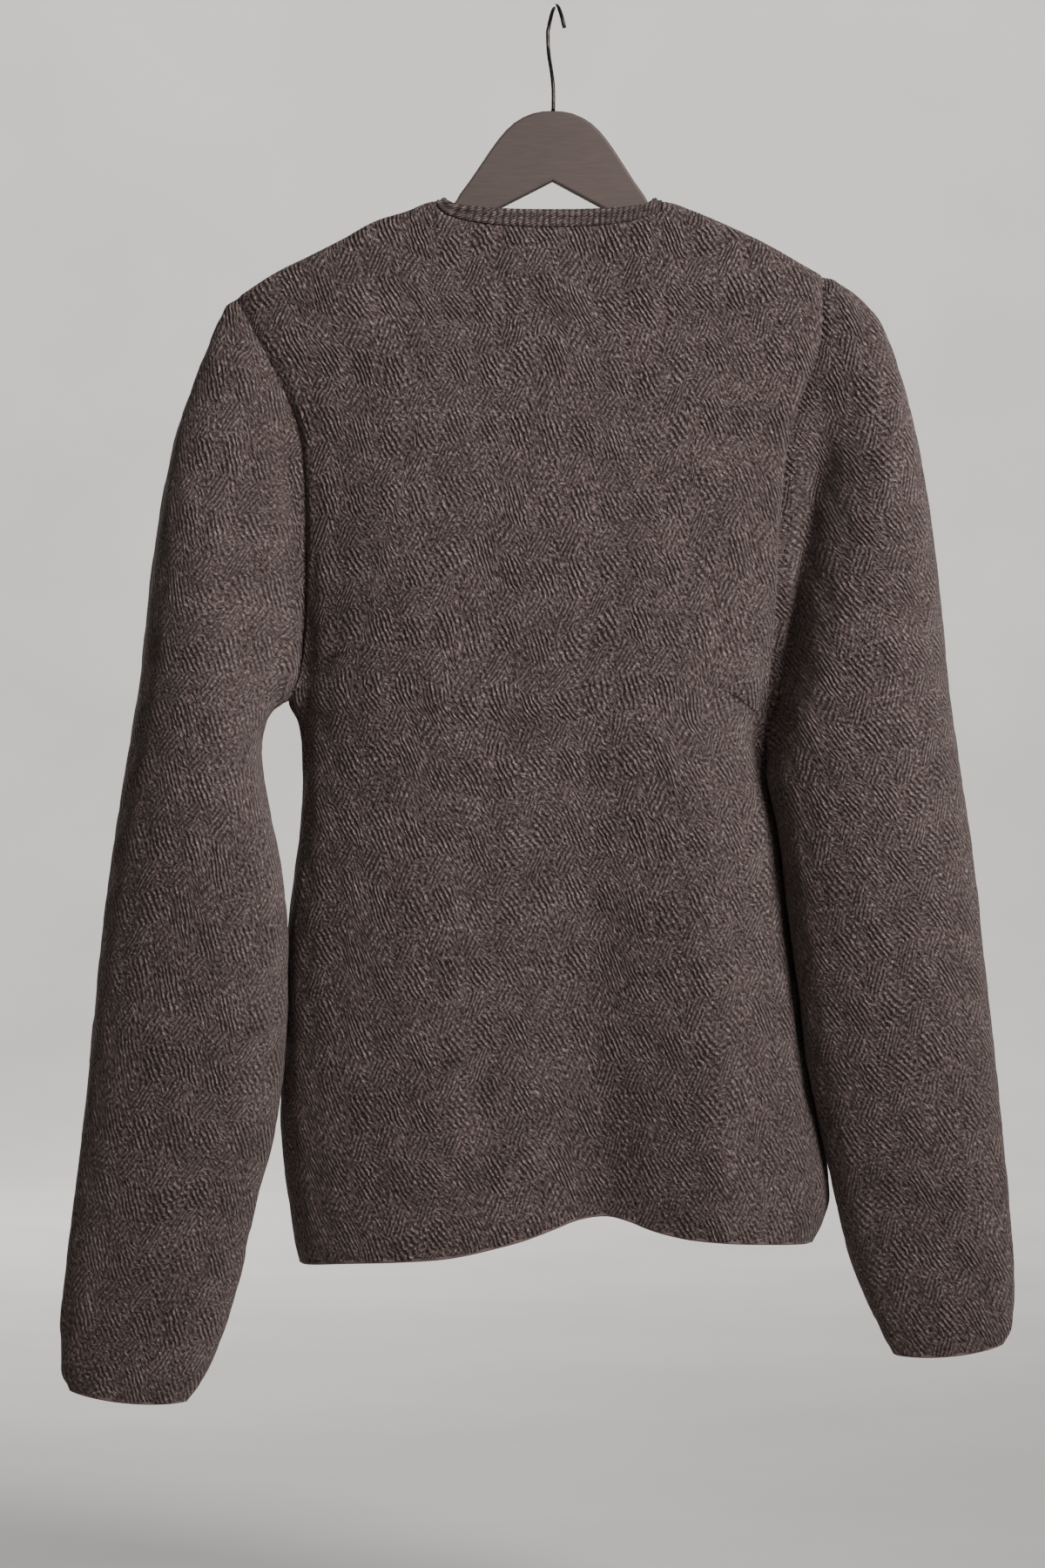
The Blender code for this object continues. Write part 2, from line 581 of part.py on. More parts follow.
class Cloth:
    """All the panels together, so that walls that share a seam are mitred along one surface."""

    def __init__(self):
        self.panels = {}
        self.shared = {}

    def add(self, name, grid, closed=False, flip=False, wall=WALL):
        normals = grid_normals(grid, closed) * (-1.0 if flip else 1.0)
        self.panels[name] = (grid, normals, closed, flip, wall)
        rows, columns = grid.shape[:2]
        for j in range(rows):
            for i in range(columns):
                on_border = j in (0, rows - 1) or (not closed and i in (0, columns - 1))
                if on_border:
                    key = seam_key(grid[j, i])
                    unit = normals[j, i] / np.linalg.norm(normals[j, i])
                    self.shared.setdefault(key, []).append(unit)

    def thickness_direction(self, point, normal):
        """Which way the wall is thick, and how many other panels meet this one at a border point."""
        unit = normal / np.linalg.norm(normal)
        meeting = self.shared.get(seam_key(point), [unit])
        if len(meeting) < 2:
            return unit, 0
        total = np.sum(meeting, axis=0)
        direction = total / np.linalg.norm(total)
        lean = max(0.75, float(np.mean([direction @ other for other in meeting])))
        return direction / lean, len(meeting) - 1

    def wall_points(self, name):
        """The outer and inner points of one panel."""
        grid, normals, closed, flip, wall = self.panels[name]
        rows, columns = grid.shape[:2]
        outer = np.zeros_like(grid)
        inner = np.zeros_like(grid)
        seam = np.zeros((rows, columns), int)
        across = np.zeros_like(grid)
        for j in range(rows):
            for i in range(columns):
                on_border = j in (0, rows - 1) or (not closed and i in (0, columns - 1))
                unit = normals[j, i] / np.linalg.norm(normals[j, i])
                if on_border:
                    across[j, i], seam[j, i] = self.thickness_direction(grid[j, i], normals[j, i])
                else:
                    across[j, i] = unit
        moved = grid.copy()
        for j in range(rows):
            for i in range(columns):
                if seam[j, i]:
                    moved[j, i] += self.pull_back(name, across[j, i], seam, j, i)
        outer = moved + across * (wall / 2.0)
        inner = moved - across * (wall / 2.0)
        return outer, inner

    def pull_back(self, name, across, seam, j, i):
        """Half a seam gap into the panel, off each border that is a seam, and more where seams cross."""
        grid, _, closed, flip, _ = self.panels[name]
        rows, columns = grid.shape[:2]
        turn = -1.0 if flip else 1.0
        borders = []
        if j == 0:
            borders.append((0, 1, turn))
        if j == rows - 1:
            borders.append((0, 1, -turn))
        if not closed and i == 0:
            borders.append((1, 0, -turn))
        if not closed and i == columns - 1:
            borders.append((1, 0, turn))
        shift = np.zeros(3)
        for down, along, sense in borders:
            tangent = np.zeros(3)
            for sign in (-1, 1):
                row = j + sign * down
                spot = i + sign * along
                if closed:
                    spot = spot % columns
                if 0 <= row < rows and 0 <= spot < columns and seam[row, spot]:
                    step = sign * (grid[row, spot] - grid[j, i])
                    tangent += step / np.linalg.norm(step)
            if not tangent.any():
                continue
            inward = np.cross(across, tangent) * sense
            shift += inward / np.linalg.norm(inward) * (SEAM_GAP / 2.0) * seam[j, i]
        return shift


def material(name, colour, roughness, metallic=0.0):
    found = bpy.data.materials.get(name)
    if found:
        return found
    made = bpy.data.materials.new(name)
    made.use_nodes = True
    shader = made.node_tree.nodes["Principled BSDF"]
    shader.inputs["Base Color"].default_value = colour
    shader.inputs["Roughness"].default_value = roughness
    shader.inputs["Metallic"].default_value = metallic
    made.diffuse_color = colour
    return made


def collection(name):
    made = bpy.data.collections.new(name)
    bpy.context.scene.collection.children.link(made)
    return made


def add_object(name, data, group, surface):
    made = bpy.data.objects.new(name, data)
    data.materials.append(surface)
    group.objects.link(made)
    return made


def panel_object(cloth, name, group, surface):
    """One closed wall from the outer and inner points of a panel."""
    grid, _, closed, flip, _ = cloth.panels[name]
    outer, inner = cloth.wall_points(name)
    rows, columns = outer.shape[:2]
    build = bmesh.new()
    outside, inside = (
        [[build.verts.new(Vector(p) * MM) for p in row] for row in points] for points in (outer, inner)
    )
    spans = columns if closed else columns - 1

    def face(*corners):
        build.faces.new(corners[::-1] if flip else corners)

    def rim(a, b):
        """The edge of the wall between two border points, split the same way as its neighbour's."""
        a_in, a_out = inside[a[0]][a[1]], outside[a[0]][a[1]]
        b_in, b_out = inside[b[0]][b[1]], outside[b[0]][b[1]]
        if seam_key(grid[a]) < seam_key(grid[b]):
            face(a_in, b_in, a_out)
            face(b_in, b_out, a_out)
        else:
            face(a_in, b_in, b_out)
            face(a_in, b_out, a_out)

    for j in range(rows - 1):
        for i in range(spans):
            k = (i + 1) % columns
            face(outside[j][i], outside[j][k], outside[j + 1][k], outside[j + 1][i])
            face(inside[j + 1][i], inside[j + 1][k], inside[j][k], inside[j][i])
    for i in range(spans):
        k = (i + 1) % columns
        rim((0, i), (0, k))
        rim((rows - 1, k), (rows - 1, i))
    if not closed:
        for j in range(rows - 1):
            rim((j + 1, 0), (j, 0))
            rim((j, columns - 1), (j + 1, columns - 1))
    mesh = bpy.data.meshes.new(name)
    build.to_mesh(mesh)
    build.free()
    mesh.shade_smooth()
    mesh.set_sharp_from_angle(angle=math.radians(40.0))
    return add_object(name, mesh, group, surface)


def knitted_pieces(group):
    knit = material("knit", COLOURS["knit"], 0.92)
    edge = material("knit_edge", COLOURS["knit_edge"], 0.92)
    back = body_grid(back_top(), True)
    front_left = body_grid(front_top(True), False, end_x=BAND_LEFT_X, is_left=True)
    front_right = body_grid(front_top(False), False, end_x=BAND_RIGHT_X, is_left=False)
    cloth = Cloth()
    cloth.add("back", back, flip=True)
    cloth.add("front_left", front_left)
    cloth.add("front_right", front_right, flip=True)
    left_sleeve = sleeve_grid(LEFT_SLEEVE, LEFT_TIP, LEFT_UNDERARM, left_edge_x)
    cloth.add("sleeve_left", left_sleeve, closed=True, flip=True)
    right_sleeve = sleeve_grid(RIGHT_SLEEVE, RIGHT_TIP, RIGHT_UNDERARM, right_edge_x)
    cloth.add("sleeve_right", right_sleeve, closed=True)
    rim = neck_rim(front_left, front_right)
    cloth.add("neckband", np.stack([rim, neck_line(front_left, front_right, back)]), flip=True)
    over_band = front_band_grid(front_left, rim[0], True)
    under_band = front_band_grid(front_right, rim[-1], False)
    cloth.add("buttonhole_band", over_band)
    cloth.add("button_band", under_band, flip=True)
    for name in cloth.panels:
        plain = name in ("neckband", "buttonhole_band", "button_band")
        panel_object(cloth, name, group, edge if plain else knit)
    return over_band


def buttons(group, band):
    """Dished buttons down the middle of the upper band, each a turned profile."""
    surface = material("button", COLOURS["button"], 0.35)
    radius = BUTTON_DIAMETER / 2.0
    thick = BUTTON_THICKNESS
    profile = (
        Point(0.0, thick * 0.62),
        Point(radius * 0.62, thick * 0.62),
        Point(radius * 0.80, thick),
        Point(radius * 0.94, thick * 0.92),
        Point(radius, thick * 0.5),
        Point(radius * 0.86, 0.0),
        Point(0.0, 0.0),
    )
    line = band[:, 1]
    normals = grid_normals(band, False)[:, 1]
    levels = np.linspace(line[0][2] - 14.0, line[-1][2] + 52.0, BUTTON_COUNT)
    for number, level in enumerate(levels, start=1):
        mesh = bpy.data.meshes.new(f"button_{number}")
        build = bmesh.new()
        verts = [build.verts.new((p.x * MM, 0.0, p.z * MM)) for p in profile]
        for a, b in zip(verts, verts[1:]):
            build.edges.new((a, b))
        build.to_mesh(mesh)
        build.free()
        made = add_object(f"button_{number}", mesh, group, surface)
        screw = made.modifiers.new("turn", "SCREW")
        screw.axis = "Z"
        screw.steps = 18
        screw.render_steps = 18
        screw.use_merge_vertices = True
        screw.merge_threshold = 0.00005
        falling = line[::-1]
        place = [np.interp(level, falling[:, 2], falling[:, axis]) for axis in range(3)]
        normal = [np.interp(level, falling[:, 2], normals[::-1][:, axis]) for axis in range(3)]
        out = Vector(normal).normalized()
        start = Vector(place) + out * (WALL / 2.0 + SEAM_GAP)
        made.matrix_world = Matrix.Translation(start * MM) @ out.to_track_quat("Z", "Y").to_matrix().to_4x4()


def arc_outline():
    """The hanger's whole outline, clockwise from its top."""
    right_half = [HANGER_TOP, *HANGER_FLANK, *HANGER_TIP, *HANGER_UNDERSIDE, HANGER_NOTCH]
    left_half = [Point(-p.x, p.z) for p in right_half[1:-1]][::-1]
    return right_half + left_half


def smoothed(points, sharp, steps):
    """A closed outline rounded by a Catmull-Rom curve, apart from its sharp corners."""
    count = len(points)
    out = []
    for index in range(count):
        before, a, b, after = (points[(index + shift) % count] for shift in (-1, 0, 1, 2))
        out.append(a)
        if a in sharp or b in sharp:
            continue
        for step in range(1, steps):
            t = step / steps
            weights = (
                (-t + 2 * t**2 - t**3) / 2,
                (2 - 5 * t**2 + 3 * t**3) / 2,
                (t + 4 * t**2 - 3 * t**3) / 2,
                (-(t**2) + t**3) / 2,
            )
            four = (before, a, b, after)
            x = sum(w * p.x for w, p in zip(weights, four))
            z = sum(w * p.z for w, p in zip(weights, four))
            out.append(Point(x, z))
    return out


def hanger_body(group, pivot):
    """A flat outline, thickened, with softened edges."""
    sharp = [HANGER_NOTCH] + [Point(side * p.x, p.z) for p in HANGER_UNDERSIDE for side in (1, -1)]
    outline = smoothed(arc_outline(), sharp, 2)
    curve = bpy.data.curves.new("hanger_body", "CURVE")
    curve.dimensions = "2D"
    curve.fill_mode = "BOTH"
    curve.extrude = (HANGER_THICKNESS / 2.0 - HANGER_EDGE_RADIUS) * MM
    curve.bevel_depth = HANGER_EDGE_RADIUS * MM
    curve.bevel_resolution = 1
    curve.offset = -HANGER_EDGE_RADIUS * MM
    spline = curve.splines.new("POLY")
    spline.points.add(len(outline) - 1)
    for point, place in zip(spline.points, outline):
        point.co = (place.x * MM, place.z * MM, 0.0, 1.0)
    spline.use_cyclic_u = True
    made = add_object("hanger_body", curve, group, material("hanger", COLOURS["hanger"], 0.55))
    made.parent = pivot
    made.rotation_euler = (math.radians(90.0), 0.0, 0.0)


def hook_route():
    """The wire's centre line: up from the hanger, back, round over the top and down to the tip."""
    radius = HOOK_INNER_RADIUS + HOOK_WIRE_DIAMETER / 2.0
    stem = [(0.0, 0.0, HANGER_TOP.z + SEAM_GAP), (0.0, 0.0, -56.0), (0.2, 0.0, -50.0)]
    bend = [(0.8, -1.6, -44.0), (1.8, -5.4, -37.0), (2.9, -9.4, -30.0), (3.6, -11.8, -23.0)]
    start, stop = math.radians(-12.0), math.radians(196.0)
    over = []
    for angle in np.linspace(start, stop, 20):
        share = (angle - start) / (stop - start)
        x = mix(3.9, -6.6, share**1.15)
        over.append((x, -radius * math.cos(angle), radius * math.sin(angle) - HOOK_INNER_RADIUS))
    return stem + bend + over


def hanger_hook(group, pivot):
    curve = bpy.data.curves.new("hanger_hook", "CURVE")
    curve.dimensions = "3D"
    curve.bevel_depth = HOOK_WIRE_DIAMETER / 2.0 * MM
    curve.bevel_resolution = 2
    curve.use_fill_caps = True
    route = hook_route()
    spline = curve.splines.new("POLY")
    spline.points.add(len(route) - 1)
    for point, place in zip(spline.points, route):
        point.co = (*(Vector(place) * MM), 1.0)
    made = add_object("hanger_hook", curve, group, material("wire", COLOURS["wire"], 0.45, 0.9))
    made.parent = pivot


def clear_scene():
    for item in list(bpy.data.objects):
        bpy.data.objects.remove(item, do_unlink=True)


def main():
    clear_scene()
    group = collection("cardigan_on_a_hanger")
    over_band = knitted_pieces(group)
    buttons(group, over_band)
    pivot = bpy.data.objects.new("hanger_pivot", None)
    group.objects.link(pivot)
    pivot.rotation_euler = (0.0, math.radians(-HANGER_TILT_DEGREES), 0.0)
    hanger_body(group, pivot)
    hanger_hook(group, pivot)


main()
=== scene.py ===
"""The looks of a round-neck knitted cardigan on a flat wooden hanger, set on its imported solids.

The knitted panels are drawn again from the same sizes as their solids, on a finer grid, and their stitches
are counted in wales across and courses down. The tables are in millimetres, and the rest is in metres.
"""

import math
from collections import namedtuple

import bmesh
import bpy
import numpy as np
from mathutils import Matrix, Vector


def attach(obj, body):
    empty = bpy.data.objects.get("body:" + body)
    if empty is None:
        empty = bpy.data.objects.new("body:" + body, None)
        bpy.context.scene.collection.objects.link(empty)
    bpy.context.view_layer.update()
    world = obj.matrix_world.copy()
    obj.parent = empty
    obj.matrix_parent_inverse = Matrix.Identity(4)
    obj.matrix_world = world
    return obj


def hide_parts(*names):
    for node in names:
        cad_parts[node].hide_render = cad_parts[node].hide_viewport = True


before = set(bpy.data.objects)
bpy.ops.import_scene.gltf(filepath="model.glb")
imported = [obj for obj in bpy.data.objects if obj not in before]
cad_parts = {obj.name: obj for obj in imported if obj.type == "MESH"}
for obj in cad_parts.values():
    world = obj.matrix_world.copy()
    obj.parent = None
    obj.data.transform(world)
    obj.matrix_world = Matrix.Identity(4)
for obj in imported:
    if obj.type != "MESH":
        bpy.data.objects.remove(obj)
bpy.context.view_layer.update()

MM = 0.001

# Driving sizes, in millimetres
WALL = 2.5
CENTRE_FRONT_X = 2.0
BAND_WIDTH = 25.0
BAND_LIFT = 1.5
NECKBAND_HEIGHT = 11.0
BUTTON_COUNT = 6
BUTTON_DIAMETER = 15.0
BUTTON_THICKNESS = 3.2
HANGER_TILT_DEGREES = 0.6
HOOK_WIRE_DIAMETER = 2.6
HOOK_INNER_RADIUS = 11.0
HANGER_TOP_Z = -65.5

# How many times finer than the solids the cloth is divided
FINENESS = 8
ARMHOLE_ROWS = 12 * FINENESS
SIDE_ROWS = 13 * FINENESS
SHOULDER_COLUMNS = 5 * FINENESS
BACK_NECK_COLUMNS = 10 * FINENESS
FRONT_NECK_COLUMNS = 6 * FINENESS
SLEEVE_RINGS = 22 * FINENESS + 1
NECKBAND_ROWS = 16
BAND_COLUMNS = 12

Point = namedtuple("Point", "x z")
EdgePoint = namedtuple("EdgePoint", "z x")
Depth = namedtuple("Depth", "z back front")
HemPoint = namedtuple("HemPoint", "x back front")
Fold = namedtuple("Fold", "x_top z_top x_low z_low depth left_width right_width")
Ring = namedtuple("Ring", "out_x out_z in_x in_z middle back front follow valley", defaults=(0.0, 0.0))
Trough = namedtuple("Trough", "top low depth width")
Light = namedtuple("Light", "name place spot size power spread")


def table(kind, rows):
    """Rows of numbers as named points."""
    return tuple(kind(*row) for row in rows)


# The shoulder ends of the armholes and the points under the arms, on the middle of the wall
LEFT_TIP = Point(x=200.2, z=-183.8)
RIGHT_TIP = Point(x=-169.4, z=-170.2)
LEFT_UNDERARM = Point(x=166.7, z=-437.4)
RIGHT_UNDERARM = Point(x=-132.5, z=-458.0)

# The outer edge of the body seen from behind: down the armhole, then down the side seam
LEFT_EDGE = table(EdgePoint, (
    (-183.8, 200.2), (-192.8, 195.6), (-213.7, 184.6), (-240.6, 171.1), (-267.0, 161.0),
    (-294.5, 157.3), (-352.3, 155.7), (-390.8, 156.6), (-420.0, 160.6), (-437.4, 166.7),
    (-449.0, 161.2), (-462.0, 158.6), (-490.0, 157.2), (-517.0, 158.3), (-545.0, 162.2),
    (-572.0, 165.8), (-655.0, 168.8), (-699.0, 171.0), (-727.0, 169.4), (-748.0, 166.4),
    (-776.0, 162.4), (-790.6, 158.8),
))
RIGHT_EDGE = table(EdgePoint, (
    (-170.2, -169.4), (-212.0, -167.5), (-235.1, -160.0), (-253.3, -153.0), (-275.3, -147.4),
    (-302.8, -143.8), (-335.8, -141.4), (-379.8, -139.4), (-423.8, -135.8), (-458.0, -132.5),
    (-470.0, -134.0), (-490.0, -135.6), (-515.0, -140.0), (-561.3, -145.6), (-599.8, -150.4),
    (-643.8, -156.4), (-687.8, -162.8), (-726.3, -170.4), (-749.4, -172.0), (-765.3, -167.6),
    (-777.6, -161.0),
))

# The line of the shoulders on the middle of the wall, from the left armhole to the right one
SHOULDER_LINE = table(Point, (
    (200.2, -183.8), (174.9, -167.8), (153.5, -157.3), (132.0, -146.3), (113.3, -135.8),
    (93.5, -129.5), (74.0, -122.8), (-68.0, -123.2), (-88.6, -129.5), (-110.0, -138.7),
    (-133.1, -149.7), (-156.8, -163.2), (-169.4, -170.2),
))
NECK_SEAM_LEFT = Point(74.0, -122.8)
NECK_SEAM_RIGHT = Point(-68.0, -123.2)
NECK_RIM_LEFT = Point(68.0, -120.8)
NECK_RIM_RIGHT = Point(-62.0, -121.0)
BACK_NECK_DROP = 16.0
BACK_RIM_DROP = 7.2
FRONT_NECK_DROP = 81.5
NECK_ROUNDNESS = 0.85

# How far the cloth stands out from the middle plane, half way across the body
BODY_DEPTH = table(Depth, (
    (-120.0, 8.4, 8.4), (-140.0, 9.4, 9.4), (-165.0, 12.0, 12.0), (-200.0, 17.0, 15.5),
    (-250.0, 24.0, 21.0), (-300.0, 30.0, 26.5), (-350.0, 36.0, 31.5), (-400.0, 41.0, 36.0),
    (-450.0, 45.0, 40.0), (-500.0, 48.0, 43.0), (-600.0, 53.0, 47.5), (-700.0, 56.0, 50.5),
    (-795.0, 57.0, 52.0),
))
RIDGE_ROUNDING = 8.0
ARMHOLE_POWER = 4.2
SIDE_POWER = 2.5
BLEND_ABOVE_UNDERARM = 20.0
BLEND_BELOW_UNDERARM = 60.0
FOLD_ROUNDING = 0.006
FOLD_PEAK = 0.0775
NECK_POINT_ROUNDING = 5.0

# The hem across the body, from the left side seam to the right one
HEM = table(HemPoint, (
    (158.8, -790.6, -790.6), (135.9, -788.4, -788.0), (93.5, -786.0, -781.5), (65.5, -783.8, -777.0),
    (37.4, -778.5, -772.5), (16.5, -772.8, -768.5), (2.2, -767.2, -766.0), (-11.6, -761.4, -764.5),
    (-29.7, -758.8, -764.0), (-41.8, -761.2, -765.0), (-57.8, -766.8, -768.0), (-77.6, -771.4, -771.5),
    (-104.5, -774.2, -774.5), (-161.0, -777.6, -777.6),
))

# Soft folds that run down the cloth: a positive depth sinks it, a negative one lifts it
BACK_FOLDS = (
    Fold(-18.0, -300.0, -31.0, -790.0, depth=25.0, left_width=120.0, right_width=72.0),
    Fold(-96.0, -420.0, -108.0, -790.0, depth=-5.0, left_width=34.0, right_width=34.0),
    Fold(60.0, -150.0, 44.0, -235.0, depth=1.6, left_width=30.0, right_width=30.0),
)
FRONT_FOLDS = (
    Fold(72.0, -330.0, 84.0, -790.0, depth=15.0, left_width=46.0, right_width=60.0),
    Fold(-66.0, -300.0, -86.0, -780.0, depth=13.0, left_width=56.0, right_width=44.0),
    Fold(118.0, -470.0, 128.0, -790.0, depth=-4.0, left_width=28.0, right_width=26.0),
    Fold(-112.0, -500.0, -124.0, -780.0, depth=-4.0, left_width=28.0, right_width=24.0),
)

# Cross-sections of each sleeve, from the armhole to the cuff: the outer and inner sides of the tube seen
# from behind, where its middle lies towards the back, how far it reaches to the back and to the front,
# how much it still follows the armhole's curve, and how deep the valley beside the body is
LEFT_SLEEVE = table(Ring, (
    (200.2, -183.8, 166.7, -437.4, 0.0, 14.0, 14.0, 1.00),
    (208.5, -193.0, 171.4, -438.9, 0.5, 19.5, 18.0, 0.85),
    (216.5, -211.0, 175.2, -441.0, 1.5, 25.5, 23.0, 0.65),
    (226.5, -238.0, 178.8, -444.6, 2.5, 32.0, 28.0, 0.42),
    (237.6, -270.0, 181.8, -449.8, 4.0, 38.0, 33.0, 0.22),
    (246.6, -314.0, 184.0, -456.8, 6.0, 43.0, 37.0, 0.08),
    (253.7, -364.0, 185.2, -466.0, 8.0, 46.0, 40.0),
    (260.2, -424.0, 184.2, -480.0, 10.0, 47.0, 41.0),
    (269.2, -480.0, 180.2, -502.0, 13.0, 45.0, 40.0),
    (276.7, -530.0, 172.4, -540.0, 17.0, 41.0, 37.0),
    (283.2, -583.0, 167.4, -590.0, 20.0, 37.0, 34.0),
    (289.0, -640.0, 168.6, -648.0, 20.0, 34.0, 31.0),
    (294.8, -697.0, 175.5, -706.0, 18.0, 30.0, 28.0),
    (301.2, -748.0, 188.6, -757.0, 15.0, 27.0, 25.0),
    (306.6, -792.0, 198.6, -803.0, 12.0, 24.0, 22.0),
    (310.6, -832.0, 211.2, -842.0, 10.0, 21.0, 20.0),
    (310.4, -857.0, 221.6, -864.0, 9.0, 19.5, 18.5),
    (305.0, -870.5, 231.6, -877.5, 8.0, 18.5, 17.5),
))
RIGHT_SLEEVE = table(Ring, (
    (-169.4, -170.2, -132.5, -458.0, 0.0, 17.0, 14.0, 1.00),
    (-186.0, -179.0, -133.2, -459.0, 2.5, 22.0, 19.0, 0.85, 5.0),
    (-204.0, -198.0, -133.8, -461.4, 5.5, 26.0, 24.0, 0.60, 14.0),
    (-215.8, -228.0, -134.4, -467.0, 8.5, 30.0, 30.0, 0.35, 12.0),
    (-226.2, -268.0, -135.2, -477.0, 11.0, 35.0, 36.0, 0.15, 4.0),
    (-235.1, -318.0, -134.6, -486.0, 13.0, 39.0, 40.0, 0.05),
    (-241.9, -374.0, -136.4, -498.0, 15.0, 42.0, 42.0),
    (-247.4, -430.0, -140.2, -516.0, 16.0, 44.0, 42.0),
    (-255.4, -486.0, -143.6, -542.0, 17.0, 43.0, 40.0),
    (-263.4, -542.0, -147.8, -580.0, 18.0, 41.0, 37.0),
    (-269.2, -600.0, -153.4, -620.0, 20.0, 37.0, 34.0),
    (-275.0, -650.0, -158.4, -664.0, 20.0, 34.0, 31.0),
    (-280.0, -696.0, -167.0, -706.0, 18.0, 30.0, 28.0),
    (-284.2, -738.0, -176.6, -748.0, 15.0, 27.0, 25.0),
    (-287.6, -776.0, -185.2, -784.0, 12.0, 24.0, 22.0),
    (-289.2, -806.0, -196.2, -813.0, 10.0, 21.0, 20.0),
    (-288.2, -829.0, -206.4, -834.5, 9.0, 19.5, 18.5),
    (-282.4, -841.5, -213.8, -848.0, 8.0, 18.5, 17.5),
))
CUFF_SAG = 2.6
HEAD_ROUNDNESS = 0.7
TUBE_ROUNDNESS = 0.92
HEAD_RINGS = 6.0
SECTION_ROUNDNESS = 0.8
LOOP_ROUNDNESS = 0.35
BAND_LAP_REACH = 35.0
LEVEL_ROUNDS = 6
VALLEY_START = 0.12
VALLEY_FULL = 0.45
VALLEY_END = 0.90


def hermite(knots, values, at):
    """A smooth curve through a table that never swings past its own values."""
    knots = np.asarray(knots, float)
    values = np.asarray(values, float)
    if knots[0] > knots[-1]:
        knots = knots[::-1]
        values = values[::-1]
    at = np.clip(np.asarray(at, float), knots[0], knots[-1])
    steps = np.diff(knots)
    slopes = np.diff(values) / steps
    before = slopes[:-1]
    after = slopes[1:]
    mean = (before * steps[1:] + after * steps[:-1]) / (steps[1:] + steps[:-1])
    limit = 3.0 * np.minimum(np.abs(before), np.abs(after))
    inner = np.where(before * after > 0, np.sign(mean) * np.minimum(np.abs(mean), limit), 0.0)
    tangents = np.concatenate([[slopes[0]], inner, [slopes[-1]]])
    cell = np.clip(np.searchsorted(knots, at, side="right") - 1, 0, len(steps) - 1)
    width = steps[cell]
    t = (at - knots[cell]) / width
    return (
        (2 * t**3 - 3 * t**2 + 1) * values[cell]
        + (t**3 - 2 * t**2 + t) * width * tangents[cell]
        + (3 * t**2 - 2 * t**3) * values[cell + 1]
        + (t**3 - t**2) * width * tangents[cell + 1]
    )


def read(rows, given, wanted, at):
    """What a table says smoothly for one of its columns, at places along another."""
    return hermite([getattr(row, given) for row in rows], [getattr(row, wanted) for row in rows], at)


def ease(low, high, value):
    """0 below low, 1 above high, and a smooth step between them."""
    t = np.clip((np.asarray(value, float) - low) / (high - low), 0.0, 1.0)
    return t * t * (3.0 - 2.0 * t)


def mix(a, b, share):
    return a + (b - a) * share


def left_edge_x(z):
    return read(LEFT_EDGE, "z", "x", z)


def right_edge_x(z):
    return read(RIGHT_EDGE, "z", "x", z)


def across_to_x(across, z):
    """across is 1 at the left edge of the body and -1 at the right one."""
    return mix(right_edge_x(z), left_edge_x(z), (across + 1.0) / 2.0)


def x_to_across(x, z):
    return 2.0 * (x - right_edge_x(z)) / (left_edge_x(z) - right_edge_x(z)) - 1.0


def loop_depth(share):
    """Depth of a flattened loop, 0 at its two ends and 1 half way."""
    return (4.0 * share * (1.0 - share)) ** LOOP_ROUNDNESS


def fold_depth(folds, x, z):
    total = np.zeros(np.broadcast(x, z).shape)
    for fold in folds:
        share = (fold.z_top - z) / (fold.z_top - fold.z_low)
        centre = mix(fold.x_top, fold.x_low, np.clip(share, 0.0, 1.1))
        growth = ease(0.0, 1.0, share) if fold.depth > 2.0 else ease(0.0, 0.5, share)
        aside = x - centre
        width = np.where(aside > 0, fold.left_width, fold.right_width)
        near = np.clip(1.0 - np.sqrt((aside / width) ** 2 + FOLD_ROUNDING) + FOLD_PEAK, 0.0, 1.0)
        total = total + fold.depth * growth * near**2 * (1.5 - 0.5 * near)
    return total


def body_depth(across, x, z, down_armhole, is_back):
    """Distance of the wall's middle from the plane of the hanger, always positive.

    down_armhole is 0 in the row of the shoulders, and 1 under the arms and below.
    """
    side = "back" if is_back else "front"
    leftness = (across + 1.0) / 2.0
    seam_depth = mix(getattr(RIGHT_SLEEVE[0], side), getattr(LEFT_SLEEVE[0], side), leftness)
    seam = seam_depth * loop_depth(down_armhole)
    right_armhole, left_armhole = (
        1.0 - ease(underarm.z + BLEND_ABOVE_UNDERARM, underarm.z - BLEND_BELOW_UNDERARM, z)
        for underarm in (RIGHT_UNDERARM, LEFT_UNDERARM)
    )
    in_armhole = mix(right_armhole, left_armhole, leftness)
    flatness = mix(SIDE_POWER, ARMHOLE_POWER, in_armhole)
    steepness = mix(1.0 / SIDE_POWER, 1.0, in_armhole)
    rise = np.clip(1.0 - np.abs(across) ** flatness, 0.0, 1.0) ** steepness
    middle = read(BODY_DEPTH, "z", side, z)
    folds = fold_depth(BACK_FOLDS if is_back else FRONT_FOLDS, x, z)
    return seam + (middle * over_ridge(x, z) - seam) * rise - folds * rise


def quarter_round(distance, radius):
    return np.sqrt(1.0 - (1.0 - np.clip(distance / radius, 0.0, 1.0)) ** 2)


def over_ridge(x, z, left=NECK_SEAM_LEFT, right=NECK_SEAM_RIGHT):
    """0 on the ridge of the shoulders and the neck points, 1 once the cloth hangs down from them."""
    below = quarter_round(shoulder_z(x) - z, RIDGE_ROUNDING)
    inside_neck = quarter_round(np.minimum(left.x - x, x - right.x), NECK_POINT_ROUNDING)
    return 1.0 - (1.0 - below) * (1.0 - inside_neck)


def armhole_shares():
    """How far down the armhole each of its rows lies, closer at its ends."""
    return (1.0 - np.cos(np.linspace(0.0, math.pi, ARMHOLE_ROWS + 1))) / 2.0


